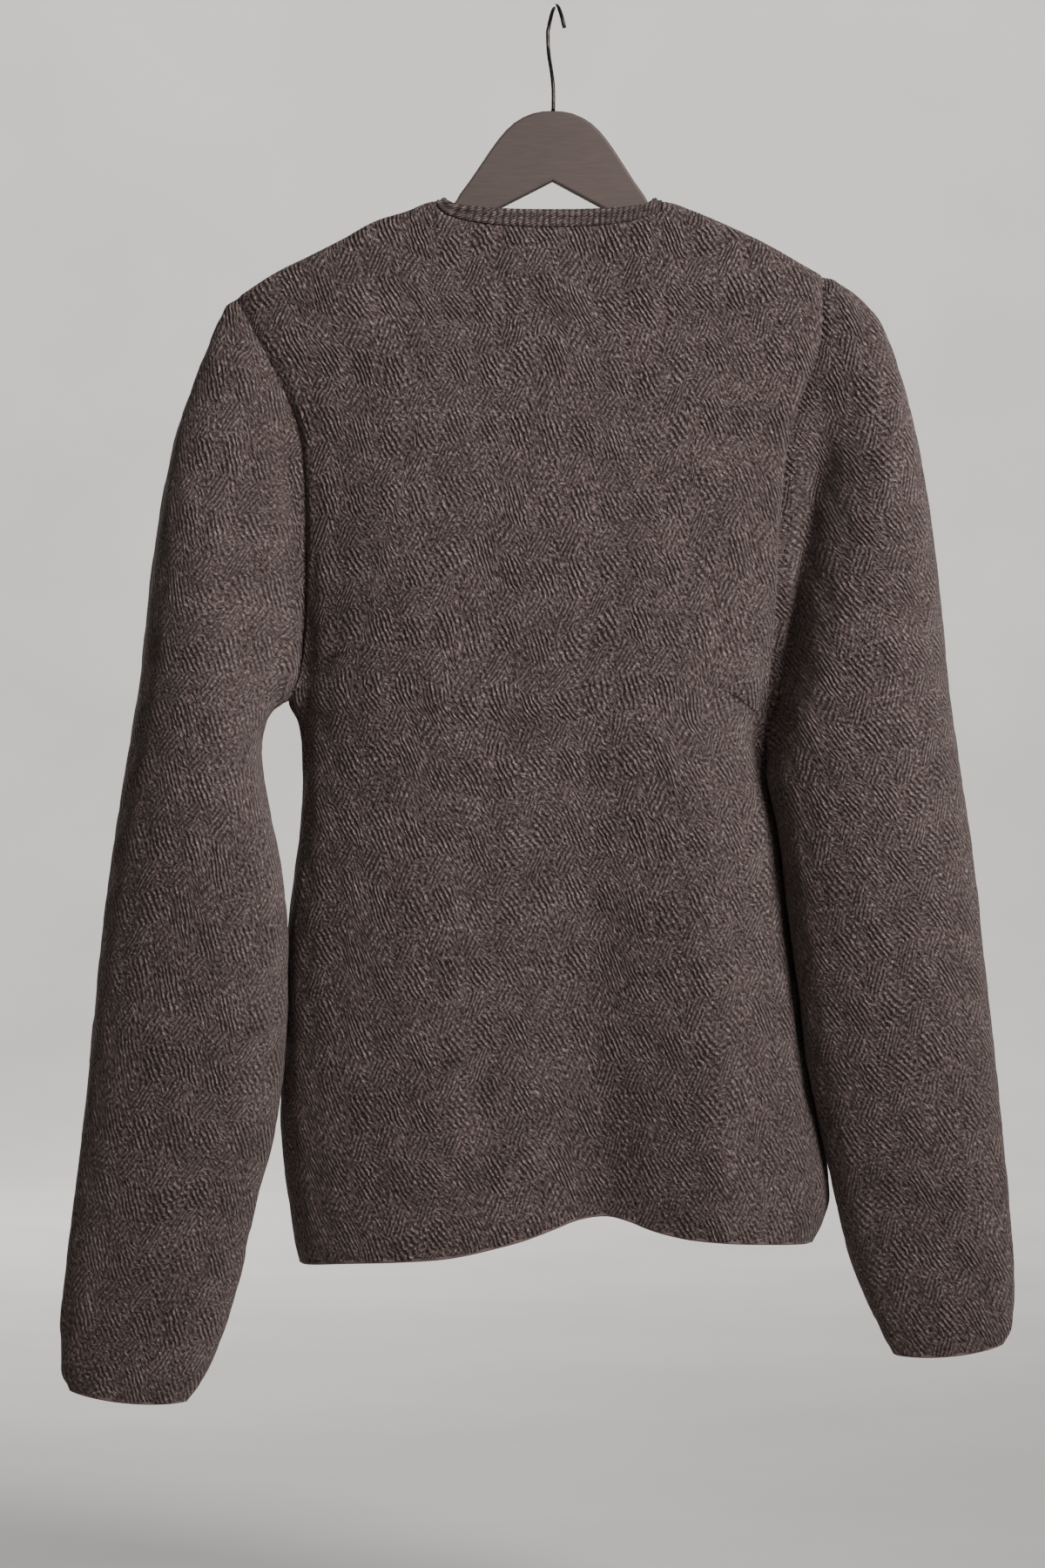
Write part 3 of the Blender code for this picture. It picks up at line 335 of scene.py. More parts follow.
def row_shares(tip, underarm, hem_z):
    """How far down the edge each row lies, 0 at the shoulder and 1 at the hem."""
    armhole = armhole_shares() * (tip.z - underarm.z)
    side = (np.linspace(0.0, 1.0, SIDE_ROWS + 1)[1:] ** 1.15) * (underarm.z - hem_z)
    down = np.concatenate([armhole, armhole[-1] + side])
    return down / down[-1]


def shoulder_z(x):
    return read(SHOULDER_LINE, "x", "z", x)


def neck_arc(left, right, drop, angles):
    """A rounded neckline from the left neck point (angle 0) to the right one (angle pi)."""
    half = (left.x - right.x) / 2.0
    middle = (left.x + right.x) / 2.0
    sideways = np.sign(np.cos(angles)) * np.abs(np.cos(angles)) ** NECK_ROUNDNESS
    x = middle + half * sideways
    top = mix(right.z, left.z, (sideways + 1.0) / 2.0)
    return x, top - drop * np.sin(angles) ** NECK_ROUNDNESS


def angle_at_x(left, right, x):
    half = (left.x - right.x) / 2.0
    share = (x - (left.x + right.x) / 2.0) / half
    return math.acos(math.copysign(abs(share) ** (1.0 / NECK_ROUNDNESS), share))


BAND_LEFT_X = CENTRE_FRONT_X + BAND_WIDTH / 2.0
BAND_RIGHT_X = CENTRE_FRONT_X - BAND_WIDTH / 2.0


def front_neck_angles(is_left, left, right):
    """Angles of the front neckline from a neck point to the edge of that side's front."""
    shares = np.linspace(0.0, 1.0, FRONT_NECK_COLUMNS + 1) ** 1.8
    start, end_x = (0.0, BAND_LEFT_X) if is_left else (math.pi, BAND_RIGHT_X)
    return mix(start, angle_at_x(left, right, end_x), shares)


def back_top():
    """The back's upper edge: left shoulder, neckline, right shoulder."""
    left_x = np.linspace(LEFT_TIP.x, NECK_SEAM_LEFT.x, SHOULDER_COLUMNS + 1)
    right_x = np.linspace(NECK_SEAM_RIGHT.x, RIGHT_TIP.x, SHOULDER_COLUMNS + 1)
    angles = np.linspace(0.0, math.pi, BACK_NECK_COLUMNS + 1)[1:-1]
    neck_x, neck_z = neck_arc(NECK_SEAM_LEFT, NECK_SEAM_RIGHT, BACK_NECK_DROP, angles)
    x = np.concatenate([left_x, neck_x, right_x])
    z = np.concatenate([shoulder_z(left_x), neck_z, shoulder_z(right_x)])
    return x, z


def front_top(is_left):
    """A front's upper edge, from its shoulder tip to its front edge."""
    tip = LEFT_TIP if is_left else RIGHT_TIP
    neck = NECK_SEAM_LEFT if is_left else NECK_SEAM_RIGHT
    shoulder_x = np.linspace(tip.x, neck.x, SHOULDER_COLUMNS + 1)
    angles = front_neck_angles(is_left, NECK_SEAM_LEFT, NECK_SEAM_RIGHT)[1:]
    neck_x, neck_z = neck_arc(NECK_SEAM_LEFT, NECK_SEAM_RIGHT, FRONT_NECK_DROP, angles)
    x = np.concatenate([shoulder_x, neck_x])
    z = np.concatenate([shoulder_z(shoulder_x), neck_z])
    return x, z


def round_section(count, end_across):
    """Columns spaced evenly round a section, from the left edge to end_across."""
    end = math.acos(math.copysign(abs(end_across) ** (1.0 / SECTION_ROUNDNESS), end_across))
    angles = np.linspace(0.0, end, count + 1)
    return np.sign(np.cos(angles)) * np.abs(np.cos(angles)) ** SECTION_ROUNDNESS


def band_shift(x, is_left):
    """How far y moves at the front bands and beside them, where the left front laps over the right one."""
    half = BAND_WIDTH / 2.0
    near = 1.0 - ease(half, half + BAND_LAP_REACH, np.abs(x - CENTRE_FRONT_X))
    return (-BAND_LIFT if is_left else BAND_LIFT) * near


def body_grid(top, is_back, end_x=None, is_left=True):
    """Points of the back or of one front, a row for each level and a column for each line down."""
    top_x, top_z = top
    count = len(top_x) - 1
    top_across = x_to_across(top_x, top_z)
    side = "back" if is_back else "front"
    left_shares = row_shares(LEFT_TIP, LEFT_UNDERARM, LEFT_EDGE[-1].z)
    right_shares = row_shares(RIGHT_TIP, RIGHT_UNDERARM, RIGHT_EDGE[-1].z)
    down_armhole = np.concatenate([armhole_shares(), np.ones(SIDE_ROWS)])
    rows = []
    for left_share, right_share, row_down in zip(left_shares, right_shares, down_armhole):
        lower = ease(0.0, 0.45, left_share)
        z = top_z
        # The level and the column's place depend on each other, so both settle in a few rounds.
        for _ in range(LEVEL_ROUNDS):
            if end_x is None:
                round_across = round_section(count, -1.0)
            else:
                sign = 1.0 if is_left else -1.0
                round_across = sign * round_section(count, sign * float(x_to_across(end_x, z[-1])))
            across = mix(top_across, round_across, lower)
            if end_x is not None:
                across = np.append(across[:-1], x_to_across(end_x, z[-1]))
            share = mix(right_share, left_share, (across + 1.0) / 2.0)
            hem_x = mix(RIGHT_EDGE[-1].x, LEFT_EDGE[-1].x, (across + 1.0) / 2.0)
            hem_z = read(HEM, "x", side, hem_x)
            z = mix(top_z, hem_z, share)
        x = across_to_x(across, z)
        depth = body_depth(across, x, z, row_down, is_back)
        y = depth if is_back else -depth
        if not is_back:
            y = y + band_shift(x, is_left)
        rows.append(np.stack([x, y, z], axis=1))
    return np.array(rows)


def sleeve_grid(sections, tip, underarm, edge_x):
    """A row for each ring, starting at its outer side and going round by the back to the front."""
    last = len(sections) - 1.0
    at = np.linspace(0.0, last, SLEEVE_RINGS)
    numbers = np.arange(len(sections))
    sizes = {
        name: hermite(numbers, [getattr(row, name) for row in sections], at) for name in Ring._fields
    }
    turns = np.linspace(0.0, 2.0 * math.pi, 2 * ARMHOLE_ROWS + 1)[:-1]
    share = (1.0 - np.cos(turns)) / 2.0
    on_back = np.sin(turns) >= 0.0
    armhole_z = mix(tip.z, underarm.z, share)
    bow = edge_x(armhole_z) - mix(tip.x, underarm.x, share)
    valley = ease(VALLEY_START, VALLEY_FULL, share) * (1.0 - ease(VALLEY_END, 1.0, share)) * on_back
    rings = []
    for index, place in enumerate(at):
        size = {name: values[index] for name, values in sizes.items()}
        inset = (WALL / 2.0) * min(1.0, place)
        chord = np.array([size["in_x"] - size["out_x"], size["in_z"] - size["out_z"]])
        chord = chord / np.linalg.norm(chord)
        out = np.array([size["out_x"], size["out_z"]]) + chord * inset
        inner = np.array([size["in_x"], size["in_z"]]) - chord * inset
        cuff = ease(last - 1.0, last, place)
        x = mix(out[0], inner[0], share) + bow * size["follow"]
        z = mix(out[1], inner[1], share) - CUFF_SAG * cuff * np.sin(turns) ** 2
        roundness = mix(HEAD_ROUNDNESS, TUBE_ROUNDNESS, ease(0.0, HEAD_RINGS, place))
        reach = np.where(on_back, size["back"], size["front"]) * np.abs(np.sin(turns)) ** roundness
        y = size["middle"] * ease(0.0, 1.0, min(1.0, place)) + np.where(on_back, reach, -reach)
        y = y - size["valley"] * valley
        rings.append(np.stack([x, y, z], axis=1))
    return np.array(rings)


def neck_line(front_left, front_right, back):
    """The neckline's seam, from the left front edge round the back to the right front edge."""
    first = SHOULDER_COLUMNS
    left = front_left[0, first:][::-1]
    right = front_right[0, first:]
    middle = back[0, first : first + BACK_NECK_COLUMNS + 1]
    return np.concatenate([left, middle[1:-1], right])


def neck_rim(front_left, front_right):
    """The neckband's upper edge, in step with its seam."""
    parts = []
    for is_left in (True, False):
        angles = front_neck_angles(is_left, NECK_RIM_LEFT, NECK_RIM_RIGHT)
        front = front_left if is_left else front_right
        drop_to = front[0, -1][2] + NECKBAND_HEIGHT
        rim_top = NECK_RIM_LEFT.z if is_left else NECK_RIM_RIGHT.z
        drop = (rim_top - drop_to) / math.sin(angles[-1]) ** NECK_ROUNDNESS
        x, z = neck_arc(NECK_RIM_LEFT, NECK_RIM_RIGHT, drop, angles)
        depth = read(BODY_DEPTH, "z", "front", z)
        y = -depth * over_ridge(x, z, NECK_RIM_LEFT, NECK_RIM_RIGHT)
        y = y + band_shift(x, is_left)
        parts.append(np.stack([x, y, z], axis=1))
    angles = np.linspace(0.0, math.pi, BACK_NECK_COLUMNS + 1)
    x, z = neck_arc(NECK_RIM_LEFT, NECK_RIM_RIGHT, BACK_RIM_DROP, angles)
    depth = read(BODY_DEPTH, "z", "back", z)
    back = np.stack([x, depth * over_ridge(x, z, NECK_RIM_LEFT, NECK_RIM_RIGHT), z], axis=1)
    return np.concatenate([parts[0][::-1], back[1:-1], parts[1]])


# The knit: stitches across and down in millimetres, and the repeat of its pattern in stitches
WALE = 2.5
COURSE = 2.1
REPEAT_WALES = 8.0
REPEAT_COURSES = 20.0
RELIEF = 0.70
LESSER_SHARE = 0.75
SEAM_GROOVE = 1.3
GROOVE_WIDTH = 2.6
SEAM_ROLL = 0.4
ROLL_DISTANCE = 7.0
ROLL_WIDTH = 3.6

# The two raised patches of each repeat, as shares of it: where they lie, and how wide and long they are
Patch = namedtuple("Patch", "across down width length")
RAISED = Patch(0.5, 0.5, 0.60, 0.50)
LESSER = Patch(0.22, 0.0, 0.60, 0.42)
LESSER_STITCHES = Patch(0.22, 0.0, 0.62, 0.44)

# How far the yarn and each patch's ridges lean aside for each course, and the wales between two ridges
YARN_LEAN = 0.46
RAISED_LEAN = 0.41
RAISED_PITCH = 1.22
LESSER_LEAN = -0.43
LESSER_PITCH = 1.16

# The ridges are clearest near the shoulders: down to this course, and fading over this many
CLEAR_ROWS = 108.0
CLEAR_FADE = 30.0

# The neckband's two ridges: where they lie down the band, how wide they are and their share of the height
BAND_RIDGES = ((0.30, 0.16, 1.0), (0.86, 0.12, 0.8))
BAND_RIDGE_HEIGHT = 0.9
BAND_SINK = 0.25
BAND_CROWN = 0.35

# Soft troughs in the back of the cloth beside the armholes, each from its upper to its lower end
TROUGHS = (
    Trough(top=(-173.0, -250.0), low=(-131.0, -474.0), depth=13.0, width=11.0),
    Trough(top=(171.0, -236.0), low=(158.0, -432.0), depth=6.0, width=9.0),
)

# How far a cast-off edge stands out from the wall, and a button from its band
EDGE_STAND = 0.25
BUTTON_STAND = 0.3
FIRST_BUTTON_DROP = 14.0
LAST_BUTTON_RISE = 52.0
THREAD_RADIUS = 0.42
THREAD_REACH = 1.9

# A button's outline, from its middle over the rim to its back, as shares of its radius and thickness
BUTTON_PROFILE = (
    (0.0, 0.55), (0.30, 0.56), (0.62, 0.62), (0.72, 0.84), (0.80, 0.97), (0.88, 1.0),
    (0.95, 0.90), (0.99, 0.70), (1.0, 0.48), (0.97, 0.22), (0.88, 0.04), (0.0, 0.0),
)

# The bands, which take their own ridges and the seed stitch instead of the pattern
BANDS = ("neckband", "buttonhole_band", "button_band")

# The camera and the floor in metres, and the camera's sensor in millimetres
SENSOR_HEIGHT = 36.0
CAMERA_DISTANCE = 3.2
CAMERA_X = 0.020
CAMERA_Z = -0.490
VIEW_HEIGHT = 0.990
FLOOR_Z = -1.06

# Each light's place, the spot it points at, its width and height in metres, its watts and its spread
LIGHTS = (
    Light("key", (-1.45, 1.8, 0.62), (0.0, 0.0, -0.28), (0.8, 1.0), 13.0, 58.0),
    Light("fill", (1.9, 3.2, -0.1), (0.0, 0.0, -0.40), (1.6, 1.8), 3.0, 180.0),
    Light("front", (1.9, -3.6, 0.9), (0.0, 0.0, -0.40), (1.8, 1.6), 80.0, 180.0),
    Light("backdrop", (0.0, -3.6, 3.2), (0.0, -6.5, 0.2), (5.0, 1.2), 250.0, 180.0),
)


def placed(name, data):
    """A new object of the scene."""
    made = bpy.data.objects.new(name, data)
    bpy.context.scene.collection.objects.link(made)
    return made


def troughs(grid):
    """The same points, let in along the troughs on the back of the garment."""
    x, y, z = grid[..., 0], grid[..., 1].copy(), grid[..., 2]
    on_back = ease(2.0, 16.0, y)
    for trough in TROUGHS:
        top, low = np.array(trough.top), np.array(trough.low)
        length = np.linalg.norm(low - top)
        along = (low - top) / length
        share = ((x - top[0]) * along[0] + (z - top[1]) * along[1]) / length
        aside = (x - top[0]) * along[1] - (z - top[1]) * along[0]
        fade = ease(-0.10, 0.35, share) * (1.0 - ease(0.92, 1.12, share))
        y -= on_back * trough.depth * fade * np.exp(-((aside / trough.width) ** 2))
    return np.stack([x, y, z], axis=-1)


def band_grid(front, rim_end, is_left):
    """The strip beside one front's edge. The left one laps over the right one."""
    far_x = BAND_RIGHT_X if is_left else BAND_LEFT_X
    levels = np.vstack([rim_end, front[:, -1]])
    shares = np.linspace(0.0, 1.0, BAND_COLUMNS + 1)
    x = levels[:, :1] + (far_x - levels[:, :1]) * shares
    y = np.repeat(levels[:, 1:2], len(shares), axis=1)
    z = np.repeat(levels[:, 2:3], len(shares), axis=1)
    return np.stack([x, y, z], axis=2)


def neckband_grid(rim, seam):
    """Rows from the rim down to the neckline's seam."""
    shares = np.linspace(0.0, 1.0, NECKBAND_ROWS + 1)[:, None, None]
    return rim[None] + (seam - rim)[None] * shares


def wrapped(grid, closed):
    return np.concatenate([grid, grid[:, :1]], axis=1) if closed else grid


def grid_normals(grid, closed):
    """Area-weighted normals of a grid of points."""
    full = wrapped(grid, closed)
    across = full[1:, 1:] - full[:-1, :-1]
    other = full[1:, :-1] - full[:-1, 1:]
    faces = np.cross(across, other)
    normals = np.zeros_like(full)
    for rows in (slice(0, -1), slice(1, None)):
        for columns in (slice(0, -1), slice(1, None)):
            normals[rows, columns] += faces
    if closed:
        normals[:, 0] += normals[:, -1]
        normals = normals[:, :-1]
    return normals


def unit(vectors):
    return vectors / np.maximum(np.linalg.norm(vectors, axis=-1, keepdims=True), 1e-12)


def sums_across(points):
    """How far along its own row each point of a grid lies."""
    steps = np.linalg.norm(np.diff(points, axis=1), axis=2)
    return np.concatenate([np.zeros((len(points), 1)), np.cumsum(steps, axis=1)], axis=1)


def seam_key(point):
    return tuple(np.round(point, 3))


class Panel:
    """One knitted piece: its grid of points, its stitches' coordinates and which borders are seams.

    A face counts its wales by wales_from at its first column and by wales_to at its last one. Only a
    closed tube has two different sets, as its wales are counted both ways round.
    """

    def __init__(self, name, grid, closed=False, flip=False, seams=""):
        self.name = name
        self.grid = grid
        self.closed = closed
        self.flip = flip
        self.seams = seams
        self.normals = unit(grid_normals(grid, closed) * (-1.0 if flip else 1.0))
        full = wrapped(grid, closed)
        down = np.linalg.norm(np.diff(full[..., 1:], axis=0), axis=2)
        self.wales_from = self.wales_to = sums_across(full[..., :2]) / WALE
        self.courses = np.concatenate([-full[:1, :, 2], -full[0, :, 2] + np.cumsum(down, axis=0)]) / COURSE

    def border_points(self):
        rows, columns = self.grid.shape[:2]
        spots = [(0, i) for i in range(columns)] + [(rows - 1, i) for i in range(columns)]
        if not self.closed:
            spots += [(j, 0) for j in range(1, rows - 1)] + [(j, columns - 1) for j in range(1, rows - 1)]
        return spots

    def seam_distance(self):
        """Distance of each point from the nearest border that is a seam, in millimetres."""
        far = np.full(self.grid.shape[:2], 1e3)
        from_first = sums_across(self.grid)
        from_top = sums_across(self.grid.swapaxes(0, 1)).T
        if "first" in self.seams:
            far = np.minimum(far, from_first)
        if "last" in self.seams:
            far = np.minimum(far, from_first[:, -1:] - from_first)
        if "top" in self.seams:
            far = np.minimum(far, from_top)
        return far


def shared_directions(panels):
    """For each point where panels meet, the directions of all their walls there."""
    meeting = {}
    for panel in panels:
        for j, i in panel.border_points():
            meeting.setdefault(seam_key(panel.grid[j, i]), []).append(panel.normals[j, i])
    return meeting


def wall_points(panel, meeting, relief):
    """The outer and inner points of a panel's wall, mitred where it meets another."""
    direction = panel.normals.copy()
    for j, i in panel.border_points():
        others = meeting[seam_key(panel.grid[j, i])]
        if len(others) > 1:
            total = np.sum(others, axis=0)
            total = total / np.linalg.norm(total)
            lean = max(0.75, float(np.mean([total @ other for other in others])))
            direction[j, i] = total / lean
    outer = panel.grid + direction * (WALL / 2.0 + relief)[..., None]
    inner = panel.grid - direction * (WALL / 2.0)
    return outer, inner


def repeat_share(value, period):
    return value / period - np.floor(value / period)


def patch(share, centre, width, softness):
    """1 within a stretch of the repeat, 0 outside it, soft at its ends."""
    aside = np.abs(repeat_share(share - centre + 0.5, 1.0) - 0.5)
    return 1.0 - ease(width / 2.0 - softness, width / 2.0 + softness, aside)


def sagging(wales, courses):
    """The courses of a hanging knit are never quite level: how many each place lies too low."""
    slow = 2.6 * np.sin(wales / 9.5 + courses / 36.0) + 1.7 * np.sin(wales / 5.1 - courses / 21.0 + 1.0)
    return slow + 1.2 * np.sin(wales / 3.4 + courses / 13.0 + 2.0)


def pattern_relief(wales, courses):
    """Low relief of the pattern: a raised patch in each repeat, and a weaker one half a repeat away."""
    across = repeat_share(wales, REPEAT_WALES)
    down = repeat_share(courses, REPEAT_COURSES)
    raised, lesser = (
        patch(across, row.across, row.width, 0.12) * patch(down, row.down, row.length, 0.09)
        for row in (RAISED, LESSER)
    )
    return RELIEF * (raised + LESSER_SHARE * lesser)


def seam_relief(distance):
    roll = SEAM_ROLL * np.exp(-(((distance - ROLL_DISTANCE) / ROLL_WIDTH) ** 2))
    return roll - SEAM_GROOVE * np.exp(-((distance / GROOVE_WIDTH) ** 2))


def band_relief(panel):
    """Two rounded ridges along the neckband, and a soft crown on the front bands."""
    rows, columns = panel.grid.shape[:2]
    if panel.name == "neckband":
        share = np.linspace(0.0, 1.0, rows)[:, None]
        ridges = sum(part * np.exp(-(((share - at) / width) ** 2)) for at, width, part in BAND_RIDGES)
        return BAND_RIDGE_HEIGHT * ridges * np.ones((rows, columns)) - BAND_SINK
    share = np.linspace(0.0, 1.0, columns)[None]
    return BAND_CROWN * np.sin(math.pi * share) * np.ones((rows, columns))


def panel_mesh(panel, outer, inner, surface):
    """A closed wall with its stitches' coordinates as a UV map."""
    rows, columns = outer.shape[:2]
    spans = columns if panel.closed else columns - 1
    size = rows * columns
    j, i = np.meshgrid(np.arange(rows - 1), np.arange(spans), indexing="ij")
    k = (i + 1) % columns
    a, b, c, d = j * columns + i, j * columns + k, (j + 1) * columns + k, (j + 1) * columns + i
    outer_faces = np.stack([a, b, c, d], axis=-1).reshape(-1, 4)
    inner_faces = np.stack([d, c, b, a], axis=-1).reshape(-1, 4) + size
    wales = (panel.wales_from, panel.wales_to)
    courses = panel.courses
    end = i + 1
    corner_u = np.stack(
        [wales[0][j, i], wales[1][j, end], wales[1][j + 1, end], wales[0][j + 1, i]], axis=-1
    )
    corner_v = np.stack([courses[j, i], courses[j, end], courses[j + 1, end], courses[j + 1, i]], axis=-1)
    corners = np.stack([corner_u, corner_v], axis=-1).reshape(-1, 4, 2)
    rim_faces = []
    rim_corners = []

    def rim(first, second, first_uv, second_uv):
        rim_faces.append((first + size, second + size, second, first))
        rim_corners.append((first_uv, second_uv, second_uv, first_uv))

    def spot(row, place):
        return row * columns + place % columns

    def uv(row, place, side):
        return (wales[side][row, place], courses[row, place])

    for place in range(spans):
        rim(spot(0, place), spot(0, place + 1), uv(0, place, 0), uv(0, place + 1, 1))
        low = rows - 1
        rim(spot(low, place + 1), spot(low, place), uv(low, place + 1, 1), uv(low, place, 0))
    if not panel.closed:
        for row in range(rows - 1):
            rim(spot(row + 1, 0), spot(row, 0), uv(row + 1, 0, 0), uv(row, 0, 0))
            last = columns - 1
            rim(spot(row, last), spot(row + 1, last), uv(row, last, 1), uv(row + 1, last, 1))
    faces = np.concatenate([outer_faces, inner_faces, np.array(rim_faces)])
    coordinates = np.concatenate([corners, corners[:, ::-1], np.array(rim_corners)])
    if panel.flip:
        faces = faces[:, ::-1]
        coordinates = coordinates[:, ::-1]
    mesh = bpy.data.meshes.new(panel.name + "_knit")
    points = np.concatenate([outer.reshape(-1, 3), inner.reshape(-1, 3)]) * MM
    mesh.from_pydata(points.tolist(), [], faces.tolist())
    layer = mesh.uv_layers.new(name="stitches")
    layer.data.foreach_set("uv", coordinates.reshape(-1).astype(np.float32))
    mesh.shade_smooth()
    mesh.set_sharp_from_angle(angle=math.radians(50.0))
    mesh.materials.append(surface)
    return placed(panel.name + "_knit", mesh)


class Nodes:
    """Short names for the shader nodes that the materials are made of."""

    def __init__(self, name):
        self.material = bpy.data.materials.new(name)
        self.material.use_nodes = True
        self.tree = self.material.node_tree
        self.shader = self.tree.nodes["Principled BSDF"]

    def link(self, value, socket):
        if isinstance(value, (int, float, tuple)):
            socket.default_value = value
        else:
            self.tree.links.new(value, socket)

    def put(self, name, value):
        """Set or join one of the shader's own inputs."""
        self.link(value, self.shader.inputs[name])

    def math(self, operation, *values, clamp=False):
        node = self.tree.nodes.new("ShaderNodeMath")
        node.operation = operation
        node.use_clamp = clamp
        for value, socket in zip(values, node.inputs):
            self.link(value, socket)
        return node.outputs[0]

    def add(self, a, b):
        return self.math("ADD", a, b)

    def times(self, a, b):
        return self.math("MULTIPLY", a, b)

    def clamped(self, value, factor, offset):
        """value times factor plus offset, kept between 0 and 1."""
        return self.math("MULTIPLY_ADD", value, factor, offset, clamp=True)

    def leaned(self, wales, courses, lean):
        """Wales that move aside by lean for each course."""
        return self.add(wales, self.times(courses, -lean))

    def wave(self, phase):
        """1 at whole numbers of phase and 0 half way between them."""
        turned = self.math("COSINE", self.times(phase, 2.0 * math.pi))
        return self.add(self.times(turned, 0.5), 0.5)

    def mix(self, share, a, b):
        """Between two numbers."""
        node = self.tree.nodes.new("ShaderNodeMix")
        node.data_type = "FLOAT"
        for value, socket in ((share, node.inputs[0]), (a, node.inputs[2]), (b, node.inputs[3])):
            self.link(value, socket)
        return node.outputs[0]

    def blend(self, share, a, b, how="MIX"):
        """Between two colours."""
        node = self.tree.nodes.new("ShaderNodeMix")
        node.data_type = "RGBA"
        node.blend_type = how
        for value, socket in ((share, node.inputs[0]), (a, node.inputs[6]), (b, node.inputs[7])):
            self.link(value, socket)
        return node.outputs[2]

    def stretch(self, value, centre, width, softness):
        """1 within a stretch of each whole number of value, soft at its ends."""
        moved = self.math("FRACT", self.add(value, 100.5 - centre))
        aside = self.math("ABSOLUTE", self.add(moved, -0.5))
        node = self.tree.nodes.new("ShaderNodeMapRange")
        node.interpolation_type = "SMOOTHSTEP"
        steps = (aside, width / 2.0 - softness, width / 2.0 + softness, 1.0, 0.0)
        for amount, socket in zip(steps, node.inputs):
            self.link(amount, socket)
        return node.outputs[0]

    def patch(self, row, across, down):
        """1 on a patch of each repeat, soft at its borders."""
        return self.times(
            self.stretch(across, row.across, row.width, 0.08),
            self.stretch(down, row.down, row.length, 0.06),
        )

    def parts(self, value):
        """The three numbers of a vector."""
        node = self.tree.nodes.new("ShaderNodeSeparateXYZ")
        self.link(value, node.inputs[0])
        return node.outputs

    def grey(self, value):
        return self.vector(value, value, value)

    def vector(self, x, y, z=0.0):
        node = self.tree.nodes.new("ShaderNodeCombineXYZ")
        for value, socket in zip((x, y, z), node.inputs):
            self.link(value, socket)
        return node.outputs[0]

    def noise(self, place, scale, detail=2.0, roughness=0.5):
        node = self.tree.nodes.new("ShaderNodeTexNoise")
        self.link(place, node.inputs["Vector"])
        node.inputs["Scale"].default_value = scale
        node.inputs["Detail"].default_value = detail
        node.inputs["Roughness"].default_value = roughness
        return node.outputs[0]

    def ramp(self, value, *stops):
        node = self.tree.nodes.new("ShaderNodeValToRGB")
        ramp = node.color_ramp
        while len(ramp.elements) < len(stops):
            ramp.elements.new(0.5)
        for element, (place, colour) in zip(ramp.elements, stops):
            element.position = place
            element.color = (*colour, 1.0)
        self.link(value, node.inputs[0])
        return node.outputs[0]

    def coordinates(self, name):
        return self.tree.nodes.new("ShaderNodeTexCoord").outputs[name]

    def stitches(self):
        """The wale and course coordinates of the stitches' UV map."""
        node = self.tree.nodes.new("ShaderNodeUVMap")
        node.uv_map = "stitches"
        wales, courses, _ = self.parts(node.outputs[0])
        return wales, courses

    def bump(self, height, distance, strength=1.0):
        node = self.tree.nodes.new("ShaderNodeBump")
        node.inputs["Strength"].default_value = strength
        node.inputs["Distance"].default_value = distance
        self.link(height, node.inputs["Height"])
        self.put("Normal", node.outputs[0])

    def wool(self, colour):
        self.put("Base Color", colour)
        self.put("Roughness", 0.95)
        self.put("Specular IOR Level", 0.12)
        self.put("Sheen Weight", 0.22)
        self.put("Sheen Roughness", 0.55)
        self.put("Sheen Tint", (0.60, 0.52, 0.48, 1.0))
        return self.material


# Linear colours of the marled yarn, from its darkest fibres to its palest ones
YARN_DARK = (0.017, 0.012, 0.0115)
YARN_BROWN = (0.064, 0.044, 0.0405)
YARN_TAUPE = (0.132, 0.094, 0.088)
YARN_PALE = (0.285, 0.218, 0.202)


def marl_with_painted_shade(nodes, wales, courses, height):
    """The yarn's mixed fibres, with painted shade that darkens them deep between the stitches."""
    slanted = nodes.leaned(wales, courses, YARN_LEAN)
    flecks = nodes.noise(nodes.vector(slanted, nodes.times(courses, 0.66)), 1.42, 2.0, 0.6)
    fibres = nodes.noise(nodes.vector(wales, nodes.times(courses, 0.8), 5.0), 2.6, 2.0, 0.6)
    clouds = nodes.noise(nodes.vector(wales, courses), 0.09, 2.0, 0.5)
    value = nodes.add(nodes.times(flecks, 0.60), nodes.times(fibres, 0.40))
    value = nodes.add(value, nodes.times(nodes.add(clouds, -0.5), 0.12))
    colour = nodes.ramp(
        value, (0.35, YARN_DARK), (0.45, YARN_BROWN), (0.54, YARN_TAUPE), (0.65, YARN_PALE)
    )
    # Painted shade: the colour is multiplied down where the stitches' height is low, as if shadowed between
    # them.
    shade = nodes.add(nodes.times(nodes.math("MAXIMUM", height, 0.0), 1.05), 0.22)
    return nodes.blend(1.0, colour, nodes.grey(shade), "MULTIPLY")


def wandering(nodes, wales, courses, reach):
    """Stitches are never quite even."""
    place = nodes.vector(wales, courses)
    other = nodes.vector(courses, wales, 7.0)
    aside = nodes.times(nodes.add(nodes.noise(place, 0.35, 2.0), -0.5), reach)
    along = nodes.times(nodes.add(nodes.noise(other, 0.4, 2.0), -0.5), reach)
    return nodes.add(wales, aside), nodes.add(courses, along)


def leaning_stitches(nodes, wales, courses, lean, pitch):
    """Twisted columns that lean across the cloth in pairs, each a ridge of slanted stitches."""
    line = nodes.times(nodes.leaned(wales, courses, lean), 1.0 / pitch)
    ridge = nodes.math("POWER", nodes.wave(line), 0.85)
    pair = nodes.math("POWER", nodes.wave(nodes.times(nodes.add(line, 0.5), 0.5)), 0.5)
    ridge = nodes.times(ridge, nodes.add(nodes.times(pair, 0.50), 0.56))
    slant = nodes.wave(nodes.add(nodes.times(courses, 0.95), nodes.times(line, 0.8)))
    return nodes.times(ridge, nodes.add(nodes.times(slant, 0.30), 0.90))


